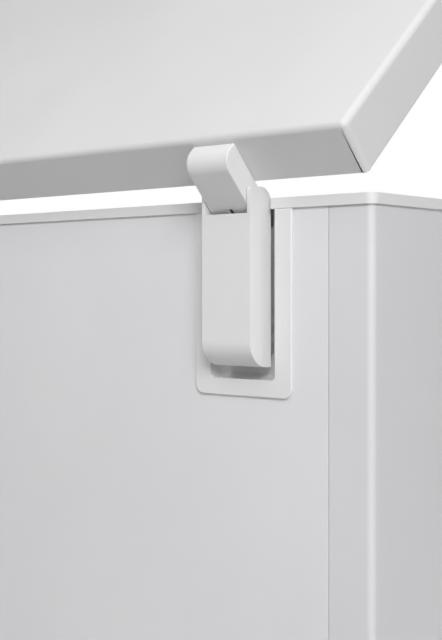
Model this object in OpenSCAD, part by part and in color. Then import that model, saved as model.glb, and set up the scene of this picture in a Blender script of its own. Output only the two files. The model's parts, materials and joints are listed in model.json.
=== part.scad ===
// Chest freezer with a hinged lid, spring hinges, rollers and a hanging basket.
// +Z is up, the front faces -Y, and the lid opens towards +Y.
// Z = 0 is the floor, and the origin is under the middle of the whole object.

/* [Cabinet] */
// Width of the cabinet
body_w = 905; // [800:5:1300]
// Depth of the cabinet without its hinges
body_d = 545; // [500:5:680]
// Height of the rim above the floor
rim_h = 785; // [700:5:900]
// Thickness of the insulated walls
wall_t = 60; // [52:1:75]
// Radius of the upright corners
corner_r = 6; // [4:1:10]
// Thickness of the steel skins
sheet_t = 0.8; // [0.6:0.1:1.2]
// Gap between the floor and the underside
floor_gap = 30; // [28:1:40]
// Distance from a side to the seam in the rear skin
seam_inset = 43.4; // [38:0.2:52]
// Radius of the upright corners of the storage space
cavity_r = 20; // [12:1:30]

/* [Top frame] */
// Height of the plastic frame around the rim
rail_h = 9.4; // [8:0.2:12]
// How far the frame stands out past the skins
rail_out = 1.9; // [1.4:0.1:2.6]
// Thickness of the frame's top
rail_t = 3; // [2:0.2:4]
// Width of the ledge that carries the basket
ledge_w = 10; // [8:0.5:14]

/* [Lid] */
// Height of the lid's outer shell
lid_h = 50; // [40:1:70]
// How far the lid stands out past the cabinet's sides and front
lid_out = 3.3; // [2.5:0.1:6]
// Gap between the rim and the closed lid's shell
lid_gap = 9.8; // [9.6:0.1:11]
// Radius of the lid's edges and corners
lid_r = 6; // [3:1:10]
// How far the lid stands open, in degrees
lid_open = 42.4; // [0:0.2:78]
// How far the lid can open, in degrees
lid_open_max = 80; // [78:1:82]

/* [Hinges] */
// Distance from a side to the middle of a hinge
hinge_inset = 135.8; // [100:0.2:180]
// Width of the hinge housing
housing_w = 55; // [55:0.1:58]
// How far the housing stands out past the rear skin
housing_out = 24.1; // [24:0.1:27]
// Depth of the housing's end below the rim
housing_drop = 145.5; // [140:0.5:150]
// Width of the cover on the lid's arm
arm_w = 46; // [44:0.5:47]
// Distance from the rear skin out to the hinge pin
pin_out = 11.8; // [11.4:0.1:12.4]
// Height of the hinge pin above the rim
pin_up = 0.7; // [0.2:0.1:1.2]
// Radius of the hinge pin
pin_r = 3; // [2.5:0.1:3.4]
// Plunger lift per radian of the lid
cam_pitch = 13; // [12:0.2:13.4]

/* [Hinge recesses] */
// Width of the frame around a hinge recess
bezel_w = 110; // [104:1:130]
// Depth of the frame's lower edge below the rim
bezel_drop = 172; // [166:1:190]
// Width of the recess
recess_w = 73.6; // [70:0.2:80]
// Depth of the recess's lower edge below the rim
recess_drop = 156.9; // [152:0.5:160]
// Depth of the recess into the rear wall
recess_d = 13.5; // [13:0.1:16]

/* [Compressor compartment] */
// Width of the compartment
comp_w = 240; // [220:5:280]
// Height of the compartment
comp_h = 215; // [200:5:240]

/* [Basket] */
// Width of the basket
basket_w = 220; // [160:5:260]
// Depth of the basket
basket_h = 200; // [120:5:220]

/* [Hidden] */
$fn = 64;

// small gaps
nest = 0.2;      // between nested fixed pieces
run = 0.05;      // radial clearance of a running fit
free = 0.5;      // between pieces that pass each other
eps = 1;         // extra length of a cut

// colours
white = [0.87, 0.87, 0.88];
grey = [0.62, 0.63, 0.65];
steel = [0.70, 0.71, 0.73];
dark = [0.12, 0.12, 0.13];
foam_cream = [0.93, 0.87, 0.68];
copper = [0.72, 0.42, 0.28];

// lid and hinge arm, in the closed position
lid_back = rail_out + 0.1;               // rear face of the lid, out from the rear skin
lid_w = body_w + 2 * lid_out;
lid_d = body_d + lid_out + lid_back;
arm_out = housing_out - 0.2;             // outer face of the arm's cover
arm_top = lid_gap + lid_h - 8;
arm_bottom = -9.5;
arm_round = 15;
arm_wall = 2;
arm_plate_low = lid_gap + 4;
arm_plate_top = arm_top - arm_wall - free;

// places
front_reach = 20;                        // thermostat knob, ahead of the front skin
rear_reach = pin_out + arm_round + (arm_out - arm_round - pin_out) * cos(lid_open)
  + (arm_top - arm_round - pin_up) * sin(lid_open);
rear_y = (body_d + front_reach - rear_reach) / 2;
front_y = rear_y - body_d;
mid_y = rear_y - body_d / 2;
hinge_x = body_w / 2 - hinge_inset;
skin_top = rim_h - rail_t - nest;

// storage space
cavity_w = body_w - 2 * wall_t;
cavity_d = body_d - 2 * wall_t;
floor_z = floor_gap + wall_t;
step_wall = 45;                          // insulation over and beside the compartment
comp_x = body_w / 2 - comp_w;
comp_top = floor_gap + comp_h;
step_x = comp_x - step_wall;
step_z = comp_top + step_wall;
ledge_drop = 13;
ledge_t = 2;
web_w = cavity_w + 2 * ledge_w + 2 * ledge_t;
web_d = cavity_d + 2 * ledge_w + 2 * ledge_t;
web_r = cavity_r + ledge_w / 2;
liner_top = rim_h - ledge_drop - ledge_t - nest;

// ---------------------------------------------------------------- helpers

// rectangle with round corners, centred
module round_rect(w, d, r) {
  square([w - 2 * r, d], center = true);
  square([w, d - 2 * r], center = true);
  for (x = [-1, 1], y = [-1, 1]) translate([x * (w / 2 - r), y * (d / 2 - r)]) circle(r);
}

// flat ring between two round rectangles, the inner one smaller by inset on each side
module round_ring(w, d, r, inset) {
  difference() {
    round_rect(w, d, r);
    round_rect(w - 2 * inset, d - 2 * inset, max(r - inset, 1));
  }
}

// waste outside a corner of radius r whose centre is the origin
module bite(r) {
  difference() {
    square(r + eps);
    circle(r);
  }
}

// (y, z) outline made into a slab from x0 to x1
module x_slab(x0, x1) {
  translate([x0, 0, 0]) rotate([90, 0, 90]) linear_extrude(x1 - x0) children();
}

// (x, z) outline made into a slab from y0 to y1
module y_slab(y0, y1) {
  translate([0, y1, 0]) rotate([90, 0, 0]) linear_extrude(y1 - y0) children();
}

// rods and discs along an axis, from one end to the other
module x_rod(r, x0, x1) {
  translate([x0, 0, 0]) rotate([0, 90, 0]) cylinder(r = r, h = x1 - x0);
}

module y_rod(r, y0, y1) {
  translate([0, y1, 0]) rotate([90, 0, 0]) cylinder(r = r, h = y1 - y0);
}

// box from its low corner to its high corner
module span(lo, hi) {
  translate(lo) cube(hi - lo);
}

// box with round upright corners and round top edges, standing on z = 0, centred in x and y
module soft_box(w, d, h, r) {
  linear_extrude(h - r) round_rect(w, d, r);
  translate([0, 0, h - r]) {
    translate([-w / 2 + r, -d / 2 + r, 0]) cube([w - 2 * r, d - 2 * r, r]);
    for (y = [-1, 1]) translate([0, y * (d / 2 - r), 0]) x_rod(r, -w / 2 + r, w / 2 - r);
    for (x = [-1, 1]) translate([x * (w / 2 - r), 0, 0]) y_rod(r, -d / 2 + r, d / 2 - r);
    for (x = [-1, 1], y = [-1, 1]) translate([x * (w / 2 - r), y * (d / 2 - r), 0]) sphere(r);
  }
}

// flat serpentine tube in the x-z plane: level runs joined by half turns
module serpentine(run_w, rows, pitch, r) {
  for (i = [0 : rows - 1]) translate([0, 0, i * pitch]) x_rod(r, -run_w / 2, run_w / 2);
  for (i = [0 : rows - 2]) {
    side = i % 2 == 0 ? 1 : -1;
    translate([side * run_w / 2, 0, (i + 0.5) * pitch]) rotate([90, side > 0 ? 0 : 180, 0])
      rotate([0, 0, -90]) rotate_extrude(angle = 180) translate([pitch / 2, 0]) circle(r);
  }
}

// ---------------------------------------------------------------- hinge frame

// local frame of a hinge: y out from the rear skin, z up from the rim
module at_hinge(side) {
  translate([side * hinge_x, rear_y, rim_h]) children();
}

module at_hinges() {
  for (side = [-1, 1]) at_hinge(side) children();
}

// turn a piece drawn with the lid closed to where the lid stands
module on_lid() {
  translate([0, rear_y + pin_out, rim_h + pin_up]) rotate([-lid_open, 0, 0])
    translate([0, -rear_y - pin_out, -rim_h - pin_up]) children();
}

// ---------------------------------------------------------------- cabinet

flange = 8;                              // depth of the folded edges at the rear seams
seam_gap = 0.6;
panel_w = 160;                           // control panel
panel_h = 60;
panel_out = 5;
panel_x = body_w / 2 - comp_w / 2 - 5;
panel_z = floor_gap + 62;
grille_d = 190;
grille_h = 120;
grille_lip = 8;                          // how far the grille laps its opening
grille_y = mid_y + 70;
grille_z = floor_gap + 95;
drain_x = -body_w / 2 + 130;
drain_y = front_y + wall_t + 45;
drain_z = floor_gap + 30;
drain_r = 9;
drain_bore = 6.5;
foot_x = body_w / 2 - 60;
foot_y = front_y + 55;
roller_y = rear_y - 60;
stud_r = 5;
stud_in = 26;                            // length of the foot's stud inside the cabinet
foot_r = 20;
nut_r = 9;
notch_gap = 4.2;                         // between the frame's notch and the hinge housing
notch_w = housing_w + 2 * notch_gap;
notch_d = recess_d + free;
notch_wall = 1.7;
cover_x0 = comp_x + 15;                  // opening behind the compressor
cover_x1 = body_w / 2 - seam_inset - 18;
cover_z0 = floor_gap + 18;
cover_z1 = comp_top - 15;
cover_lap = 10;

module control_cut() {
  translate([panel_x, 0, panel_z]) y_slab(front_y - eps, front_y + 25)
    round_rect(panel_w - 14, panel_h - 14, 4);
}

module cabinet_wrap() {
  color(white) difference() {
    union() {
      translate([0, mid_y, floor_gap]) linear_extrude(skin_top - floor_gap) difference() {
        round_ring(body_w, body_d, corner_r, sheet_t);
        translate([-body_w / 2 + seam_inset, body_d / 2 - 2 * sheet_t])
          square([body_w - 2 * seam_inset, 4 * sheet_t]);
      }
      for (side = [0, 1]) mirror([side, 0, 0])
        span([body_w / 2 - seam_inset, rear_y - flange, floor_gap + 1 + nest],
             [body_w / 2 - seam_inset + sheet_t, rear_y, skin_top]);
    }
    control_cut();
    translate([drain_x, 0, drain_z]) y_rod(drain_r + nest, front_y - eps, front_y + 5);
    translate([0, grille_y, grille_z]) x_slab(body_w / 2 - 5, body_w / 2 + 5)
      round_rect(grille_d - 2 * grille_lip, grille_h - 2 * grille_lip, 5);
  }
}

// opening for the pocket of a hinge recess, grown by gap
module recess_cut(gap) {
  w = recess_w / 2 + 1.5 + gap;
  at_hinges() span([-w, -recess_d - 1.5 - gap, -recess_drop - 1.5 - gap], [w, eps, eps]);
}

module rear_panel() {
  edge = body_w / 2 - seam_inset - seam_gap;
  color(white) difference() {
    union() {
      span([-edge, rear_y - sheet_t, floor_gap], [edge, rear_y, skin_top]);
      for (side = [0, 1]) mirror([side, 0, 0])
        span([edge - sheet_t, rear_y - flange, floor_gap + 1 + nest], [edge, rear_y, skin_top]);
    }
    recess_cut(nest);
    span([cover_x0, rear_y - 5, cover_z0], [cover_x1, rear_y + eps, cover_z1]);
    cover_holes(1.9);
  }
}

module bottom_pan() {
  color(steel) difference() {
    translate([0, mid_y, floor_gap]) linear_extrude(1)
      round_rect(body_w - 2 * sheet_t - 2 * nest, body_d - 2 * sheet_t - 2 * nest, corner_r - sheet_t);
    for (side = [-1, 1]) translate([side * foot_x, foot_y, floor_gap - eps])
      cylinder(r = stud_r + run, h = 3);
  }
}

// the storage space, grown by gap, up to height top
module cavity(gap, top) {
  translate([0, mid_y, step_z - gap]) linear_extrude(top - step_z + gap)
    round_rect(cavity_w + 2 * gap, cavity_d + 2 * gap, cavity_r + gap);
  low_w = step_x + cavity_w / 2;
  translate([step_x - low_w / 2, mid_y, floor_z - gap]) linear_extrude(step_z - floor_z + 2 * gap)
    round_rect(low_w + 2 * gap, cavity_d + 2 * gap, cavity_r + gap);
}

coil_gap = 8;                            // depth of the pockets that hold the tubes
evap_z = step_z + 40;
evap_rows = 6;
evap_pitch = 44;
evap_w = cavity_w - 160;
cond_z = comp_top + 30;
cond_rows = 8;
cond_pitch = 50;
cond_w = body_w - 200;

module foam_body() {
  color(foam_cream) difference() {
    translate([0, mid_y, floor_gap + 1 + nest]) linear_extrude(skin_top - floor_gap - 1 - nest)
      round_rect(body_w - 2 * sheet_t - 2 * nest, body_d - 2 * sheet_t - 2 * nest,
                 corner_r - sheet_t - nest);
    cavity(sheet_t + nest, rim_h + eps);
    // seat of the top frame
    translate([0, mid_y, liner_top - nest]) linear_extrude(50)
      round_rect(web_w + 2 * nest, web_d + 2 * nest, web_r + nest);
    translate([0, mid_y, rim_h - rail_h - nest]) linear_extrude(50)
      round_ring(body_w + 20, body_d + 20, corner_r + 10, 12);
    at_hinges() span([-notch_w / 2 - 2, -notch_d - 2, -rail_h - nest], [notch_w / 2 + 2, 5, 5]);
    // compressor compartment
    span([comp_x - nest, front_y - eps, 0], [body_w, rear_y + eps, comp_top + nest]);
    recess_cut(nest);
    at_hinges() bracket_screw_holes(plate_b0 - screw_in - nest, 0, screw_r + nest);
    // folded edges at the rear seams
    for (side = [0, 1]) mirror([side, 0, 0])
      span([body_w / 2 - seam_inset - 2.2, rear_y - flange - nest, 0],
           [body_w / 2 - seam_inset + sheet_t + nest, rear_y + eps, rim_h]);
    // pockets for the tubes
    span([-evap_w / 2 - 30, rear_y - wall_t, evap_z - 10],
         [evap_w / 2 + 30, rear_y - wall_t + sheet_t + coil_gap, evap_z + evap_rows * evap_pitch]);
    span([-cond_w / 2 - 35, front_y, cond_z - 10],
         [cond_w / 2 + 35, front_y + sheet_t + coil_gap, cond_z + cond_rows * cond_pitch]);
    // drain and feet
    translate([drain_x, drain_y, drain_z - 12]) cylinder(r = drain_r + nest, h = 100);
    translate([drain_x, 0, drain_z]) y_rod(drain_r + nest, front_y - eps, drain_y + 12);
    for (side = [-1, 1]) translate([side * foot_x, foot_y, 0])
      cylinder(r = stud_r + 3, h = floor_gap + stud_in + 4);
  }
}

module inner_liner() {
  color([0.80, 0.81, 0.83]) difference() {
    cavity(sheet_t, liner_top);
    cavity(0, liner_top + eps);
    translate([drain_x, drain_y, floor_z - 5]) cylinder(r = drain_r + nest, h = 10);
  }
}

module top_frame() {
  w = body_w + 2 * rail_out;
  d = body_d + 2 * rail_out;
  r = corner_r + rail_out;
  skirt_w = cavity_w - 2 * nest;
  skirt_d = cavity_d - 2 * nest;
  color([0.85, 0.85, 0.86]) difference() {
    union() {
      // outer skirt and top
      translate([0, mid_y, rim_h - rail_h]) linear_extrude(rail_h)
        round_ring(w, d, r, rail_out - 0.1);
      translate([0, mid_y, rim_h - rail_t]) linear_extrude(rail_t) difference() {
        round_rect(w, d, r);
        round_rect(web_w - 2 * ledge_t, web_d - 2 * ledge_t, web_r - ledge_t);
      }
      // upright web down to the ledge
      translate([0, mid_y, rim_h - ledge_drop]) linear_extrude(ledge_drop)
        round_ring(web_w, web_d, web_r, ledge_t);
      // ledge, and the skirt inside the liner
      translate([0, mid_y, rim_h - ledge_drop - ledge_t]) linear_extrude(ledge_t) difference() {
        round_rect(web_w, web_d, web_r);
        round_rect(skirt_w - 2 * ledge_t, skirt_d - 2 * ledge_t, cavity_r - ledge_t);
      }
      translate([0, mid_y, rim_h - 35]) linear_extrude(35 - ledge_drop)
        round_ring(skirt_w, skirt_d, cavity_r, ledge_t);
      // walls around the notches
      at_hinges() span([-notch_w / 2 - notch_wall, -notch_d - notch_wall, -rail_h],
                       [notch_w / 2 + notch_wall, 0.1, 0]);
    }
    at_hinges() span([-notch_w / 2, -notch_d, -rail_h - eps], [notch_w / 2, 10, eps]);
  }
}

// ---------------------------------------------------------------- compressor compartment

comp_y = mid_y + 70;
comp_mid = comp_x + comp_w / 2 - 6;
tray_t = 2;
tray_z = floor_gap + 1;
mount_x = 62;
mount_y = 42;
grommet_h = 14;
plate_z = tray_z + tray_t + grommet_h;
shell_r = 58;
shell_h = 80;
bolt_r = 4;
foot_plate_t = 3;

module compartment_wall() {
  color(steel) {
    span([comp_x, front_y + 12, floor_gap + 1], [comp_x + 1, rear_y - 12, comp_top]);
    span([comp_x + 1, front_y + 12, comp_top - 1], [body_w / 2 - sheet_t - nest, rear_y - 12, comp_top]);
  }
}

module compressor_tray() {
  color(steel) translate([comp_mid, comp_y, tray_z]) linear_extrude(tray_t)
    round_rect(2 * mount_x + 40, 2 * mount_y + 70, 6);
}

module compressor_grommets() {
  color(dark) for (x = [-1, 1], y = [-1, 1])
    translate([comp_mid + x * mount_x, comp_y + y * mount_y, tray_z + tray_t]) {
      cylinder(r = 9, h = grommet_h);
      cylinder(r = bolt_r, h = grommet_h + foot_plate_t + 2);
    }
}

module compressor() {
  color(dark) {
    translate([comp_mid, comp_y, plate_z]) difference() {
      linear_extrude(foot_plate_t) round_rect(2 * mount_x + 24, 2 * mount_y + 24, 10);
      for (x = [-1, 1], y = [-1, 1]) translate([x * mount_x, y * mount_y, -eps])
        cylinder(r = bolt_r + run, h = foot_plate_t + 2 * eps);
    }
    translate([comp_mid, comp_y, plate_z + foot_plate_t]) {
      cylinder(r = shell_r, h = shell_h);
      cylinder(r = shell_r + 3, h = 4);
      translate([0, 0, shell_h]) cylinder(r1 = shell_r, r2 = shell_r - 14, h = 12);
      translate([0, 0, shell_h + 12]) cylinder(r1 = shell_r - 14, r2 = shell_r - 36, h = 7);
    }
  }
}

module relay_cover() {
  color(dark) translate([comp_mid - 26, comp_y + shell_r + nest, plate_z + 20]) cube([52, 26, 48]);
}

module filter_drier() {
  color(copper) translate([comp_x + 30, mid_y - 60, floor_gap + 40]) {
    cylinder(r = 10, h = 90);
    translate([0, 0, 90]) cylinder(r1 = 10, r2 = 3, h = 12);
    translate([0, 0, 102]) cylinder(r = 3, h = 20);
    translate([0, 0, -12]) cylinder(r1 = 3, r2 = 10, h = 12);
    translate([0, 0, -20]) cylinder(r = 3, h = 8);
  }
}

module condenser_tube() {
  color(dark) translate([0, front_y + sheet_t + coil_gap / 2, cond_z])
    serpentine(cond_w, cond_rows, cond_pitch, 3);
}

module evaporator_tube() {
  color(steel) translate([0, rear_y - wall_t + sheet_t + coil_gap / 2, evap_z])
    serpentine(evap_w, evap_rows, evap_pitch, 3);
}

// places of the rear cover's screws
cover_screw_x = [cover_x0 - 5, cover_x1 + 5];
cover_screw_z = [cover_z0 + 10, (cover_z0 + cover_z1) / 2, cover_z1 - 10];
inlet_x = cover_x0 + 24;
inlet_z = cover_z0 + 22;
inlet_r = 11;

module cover_holes(r) {
  for (x = cover_screw_x, z = cover_screw_z)
    translate([x, 0, z]) y_rod(r, rear_y - 5, rear_y + 5);
}

module rear_cover() {
  slots = 9;
  pitch = 14;
  slot_h = 64;
  color(white) difference() {
    translate([(cover_x0 + cover_x1) / 2, 0, (cover_z0 + cover_z1) / 2])
      y_slab(rear_y, rear_y + 1)
        round_rect(cover_x1 - cover_x0 + 2 * cover_lap, cover_z1 - cover_z0 + 2 * cover_lap, 6);
    cover_holes(1.9);
    for (i = [0 : slots - 1], j = [0, 1])
      translate([(cover_x0 + cover_x1) / 2 + (i - (slots - 1) / 2) * pitch, 0,
                 cover_z1 - 20 - slot_h / 2 - j * (slot_h + 14)])
        if (j == 0 || i > 3) y_slab(rear_y - 1, rear_y + 3) round_rect(6, slot_h, 2.9);
    translate([inlet_x, 0, inlet_z]) y_rod(inlet_r, rear_y - 1, rear_y + 5);
  }
}

module cover_screws() {
  color(steel) for (x = cover_screw_x, z = cover_screw_z) translate([x, 0, z]) {
    y_rod(1.8, rear_y - 4, rear_y + 1);
    y_rod(3.6, rear_y + 1, rear_y + 3);
  }
}

module cord_inlet() {
  color(dark) translate([inlet_x, 0, inlet_z]) difference() {
    union() {
      y_rod(inlet_r, rear_y - 2, rear_y + 1);
      y_rod(inlet_r + 3, rear_y + 1, rear_y + 4);
      y_rod(inlet_r + 2, rear_y - 4, rear_y - 2);
    }
    y_rod(6, rear_y - 10, rear_y + 10);
  }
}

module side_grille() {
  slats = 8;
  color(grey) difference() {
    translate([0, grille_y, grille_z]) union() {
      x_slab(body_w / 2, body_w / 2 + 2.6) round_rect(grille_d, grille_h, 10);
      x_slab(body_w / 2 - 8, body_w / 2)
        round_ring(grille_d - 2 * grille_lip - 2 * nest, grille_h - 2 * grille_lip - 2 * nest, 5, 2);
    }
    for (i = [0 : slats - 1])
      translate([0, grille_y, grille_z + (i - (slats - 1) / 2) * 12])
        x_slab(body_w / 2 - 1, body_w / 2 + 5) round_rect(grille_d - 28, 6, 2.9);
  }
}

// ---------------------------------------------------------------- controls

knob_x = -46;
knob_r = 19;
knob_out = 13;
skirt_out = 7;
shaft_r = 4;
switch_x = 6;
switch_w = 14;
switch_h = 22;
lamp_r = 3.5;
lamp_xs = [34, 48, 62];
panel_face = front_y - panel_out;

// place of a control on the panel
module on_panel(x) {
  translate([panel_x + x, 0, panel_z]) children();
}

module control_panel() {
  color(grey) difference() {
    union() {
      on_panel(0) y_slab(panel_face, front_y) round_rect(panel_w, panel_h, 8);
      on_panel(0) y_slab(front_y, front_y + 18)
        round_rect(panel_w - 14 - 2 * nest, panel_h - 14 - 2 * nest, 4);
    }
    // hollow back
    on_panel(0) y_slab(front_y + 8, front_y + 20) round_rect(panel_w - 20, panel_h - 20, 3);
    on_panel(knob_x) y_rod(shaft_r + run, panel_face - eps, front_y + 20);
    on_panel(switch_x) y_slab(panel_face - eps, front_y + 20)
      square([switch_w + 1, switch_h + 1], center = true);
    on_panel(switch_x) translate([0, front_y - 1, 0])
      x_rod(1.5 + run, -switch_w / 2 - 2.5, switch_w / 2 + 2.5);
    for (x = lamp_xs) on_panel(x) y_rod(lamp_r, panel_face - eps, front_y + 20);
  }
}

module thermostat_knob() {
  color(dark) on_panel(knob_x) {
    y_rod(shaft_r, panel_face - 1, front_y + 14);
    y_rod(knob_r, panel_face - skirt_out, panel_face - free);
    y_rod(knob_r - 3, panel_face - knob_out, panel_face - skirt_out);
    // raised pointer
    span([-1.5, -front_reach + front_y, 2], [1.5, panel_face - knob_out, knob_r - 5]);
  }
}

// rocker on a pin across the panel, tipped at rest
module freeze_switch() {
  color(dark) on_panel(switch_x) translate([0, front_y - 1, 0]) {
    rotate([6, 0, 0]) x_slab(-switch_w / 2, switch_w / 2)
      polygon([[-6, -switch_h / 2 + 1], [-5, 0], [-6, switch_h / 2 - 1], [4, switch_h / 2 - 3],
               [6, 0], [4, -switch_h / 2 + 3]]);
    x_rod(1.5, -switch_w / 2 - 2, switch_w / 2 + 2);
  }
}

module lamp(x) {
  on_panel(x) {
    y_rod(lamp_r, panel_face - 0.5, front_y + 10);
    y_rod(lamp_r - 1.2, panel_face - 1.2, panel_face - 0.5);
  }
}

module lamp_green() {
  color([0.1, 0.65, 0.25]) lamp(lamp_xs[0]);
}

module lamp_amber() {
  color([0.95, 0.6, 0.1]) lamp(lamp_xs[1]);
}

module lamp_red() {
  color([0.8, 0.1, 0.08]) lamp(lamp_xs[2]);
}

// ---------------------------------------------------------------- drain, feet and rollers

spout_out = 14;

module drain_tube() {
  color(grey) translate([drain_x, 0, drain_z]) difference() {
    union() {
      translate([0, drain_y, 0]) cylinder(r = drain_r, h = floor_z - drain_z);
      translate([0, drain_y, 0]) sphere(drain_r);
      y_rod(drain_r, front_y - spout_out, drain_y);
    }
    translate([0, drain_y, 0]) cylinder(r = drain_bore, h = 200);
    translate([0, drain_y, 0]) sphere(drain_bore);
    y_rod(drain_bore, front_y - 50, drain_y);
  }
}

module drain_cap() {
  end = front_y - spout_out;
  color(grey) translate([drain_x, 0, drain_z]) difference() {
    y_rod(drain_r + 3, end - 3, end + 11);
    y_rod(drain_r + run, end - nest, end + 20);
  }
}

module drain_plug() {
  color(dark) translate([drain_x, drain_y, floor_z]) {
    translate([0, 0, -14]) cylinder(r = drain_bore - run, h = 15);
    translate([0, 0, nest]) cylinder(r = drain_r + 4, h = 4);
    translate([0, 0, 4]) cylinder(r = 4, h = 8);
  }
}

module front_foot(side) {
  color(dark) translate([side * foot_x, foot_y, 0]) {
    cylinder(r1 = foot_r - 2, r2 = foot_r, h = 3);
    translate([0, 0, 3]) cylinder(r = foot_r, h = 7);
    translate([0, 0, 10]) cylinder(r1 = foot_r, r2 = nut_r, h = 4);
    cylinder(r = stud_r, h = floor_gap + stud_in);
    translate([0, 0, floor_gap - 6 - nest]) cylinder(r = nut_r, h = 6);
  }
}

roller_r = 13;
roller_w = 22;
axle_r = 3;
ear_x = 13;
axle_end = 17;

module roller_brackets() {
  color(steel) for (side = [-1, 1]) translate([side * foot_x, roller_y, 0]) difference() {
    union() {
      span([-20, -20, floor_gap - 1.5], [20, 20, floor_gap]);
      for (s = [0, 1]) mirror([s, 0, 0]) x_slab(ear_x, ear_x + 1.5) {
        translate([0, roller_r]) circle(7);
        polygon([[-12, floor_gap - 1.5], [12, floor_gap - 1.5], [7, roller_r], [-7, roller_r]]);
      }
    }
    translate([0, 0, roller_r]) x_rod(axle_r, -40, 40);
  }
}

module roller_axles() {
  color(steel) for (side = [-1, 1]) translate([side * foot_x, roller_y, roller_r])
    x_rod(axle_r, -axle_end, axle_end);
}

module roller(side) {
  color(grey) translate([side * foot_x, roller_y, roller_r]) difference() {
    union() {
      x_rod(roller_r, -roller_w / 2 + 2, roller_w / 2 - 2);
      x_rod(roller_r - 2, -roller_w / 2, roller_w / 2);
    }
    x_rod(axle_r + run, -20, 20);
    for (s = [0, 1]) mirror([s, 0, 0]) difference() {
      x_rod(roller_r - 4, roller_w / 2 - 3, roller_w);
      x_rod(axle_r + 2.5, 0, roller_w);
    }
  }
}

// ---------------------------------------------------------------- hinge recess

// outline of the frame or of the recess: square top, round bottom corners
module recess_outline(w, drop, top, r) {
  difference() {
    translate([-w / 2, -drop]) square([w, drop - top]);
    for (s = [0, 1]) mirror([s, 0]) translate([w / 2 - r, -drop + r]) mirror([0, 1]) bite(r);
  }
}

bezel_top = rail_h + nest;
bezel_t = 2.4;

module hinge_bezel(side) {
  color(white) at_hinge(side) difference() {
    union() {
      y_slab(0, bezel_t) recess_outline(bezel_w, bezel_drop, bezel_top, 9);
      y_slab(-recess_d - 1.5, 0) recess_outline(recess_w + 3, recess_drop + 1.5, bezel_top, 5);
    }
    y_slab(-recess_d, 10) recess_outline(recess_w, recess_drop, -eps, 4.5);
    bracket_screw_holes(-recess_d - 3, -recess_d + 3, screw_hole_r);
  }
}

// ---------------------------------------------------------------- hinge, fixed part

cheek_t = 3.5;
cheek_top = 9.5;
cheek_back = -4.2;
front_top = -13.4;                       // top edge of the housing's front
bracket_half = housing_w / 2 - cheek_t - nest;
plate_b0 = -recess_d;
plate_b1 = plate_b0 + 1.5;
spring_out = 3.7;                        // axis of the spring, out from the rear skin
seat_z = -128;                           // top of the spring's seat
ear_half = 18;
arm_half = 20.5;
hub_r = 7;
screw_r = 2;
screw_hole_r = screw_r + 0.1;
screw_in = 6;                            // length of a bracket screw behind the plate
cam_low = 1.5;

// reach of the cam below the pin when the lid stands open by a degrees
function cam_reach(a) = cam_low + cam_pitch * (lid_open_max - a) * PI / 180;
function cam_point(a) = cam_reach(a) * [sin(a), -cos(a)] - cam_pitch * [cos(a), sin(a)];
function rise(a) = cam_pitch * a * PI / 180;

module bracket_screw_holes(y0, y1, r) {
  for (x = [-12, 12], z = [-116, -30]) translate([x, 0, z]) y_rod(r, y0, y1);
}

module hinge_bracket(side) {
  color(steel) at_hinge(side) difference() {
    union() {
      // back plate, side walls and foot
      span([-bracket_half, plate_b0, seat_z - 6], [bracket_half, plate_b1, -2]);
      for (s = [0, 1]) mirror([s, 0, 0])
        span([bracket_half - 1.5, plate_b1, seat_z - 6], [bracket_half, 14, -24]);
      span([-bracket_half + 1.5, plate_b1, seat_z - 6], [bracket_half - 1.5, 14, seat_z - 4]);
      // spring seat and guide rod
      translate([0, spring_out, seat_z - 4]) cylinder(r = 13.5, h = 4);
      translate([0, spring_out, seat_z]) cylinder(r = 4, h = 64);
      // ears for the pin
      for (s = [0, 1]) mirror([s, 0, 0]) x_slab(ear_half - 2, ear_half) {
        translate([pin_out, pin_up]) circle(hub_r);
        polygon([[plate_b1, 4], [pin_out, pin_up + hub_r], [pin_out, pin_up - hub_r],
                 [2.2, pin_up - hub_r], [-1, -14], [plate_b1, -22]]);
      }
    }
    translate([0, pin_out, pin_up]) x_rod(pin_r, -30, 30);
    // window for the cam
    span([-7, plate_b0 - eps, -24], [7, plate_b1 + eps, eps]);
    bracket_screw_holes(plate_b0 - eps, plate_b1 + eps, screw_hole_r);
  }
}

module hinge_pins() {
  color(steel) at_hinges() translate([0, pin_out, pin_up]) x_rod(pin_r, -arm_half - 0.2, arm_half + 0.2);
}

module hinge_screws() {
  color(steel) at_hinges() {
    bracket_screw_holes(plate_b0 - screw_in, plate_b1, screw_r);
    bracket_screw_holes(plate_b1, plate_b1 + 1.2, 3.6);
  }
}

// side view of the housing, shrunk by wall on its closed sides
module housing_side(wall, top, back) {
  low_r = 22 - wall;
  difference() {
    translate([back, -housing_drop + wall]) square([housing_out - wall - back, top + housing_drop - wall]);
    translate([housing_out - 22, -housing_drop + 22]) mirror([0, 1]) bite(low_r);
  }
}

module hinge_housing(side) {
  inner = housing_w / 2 - cheek_t;
  back_r = 13.2;
  lip_r = 4;
  color(white) at_hinge(side) {
    for (s = [0, 1]) mirror([s, 0, 0]) x_slab(inner, housing_w / 2) difference() {
      housing_side(0, cheek_top, cheek_back);
      translate([cheek_back + back_r, cheek_top - back_r]) mirror([1, 0]) bite(back_r);
      translate([housing_out - lip_r, cheek_top - lip_r]) bite(lip_r);
    }
    x_slab(-inner, inner) difference() {
      housing_side(0, front_top, cheek_back);
      housing_side(cheek_t, cheek_top, cheek_back - eps);
    }
  }
}

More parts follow.
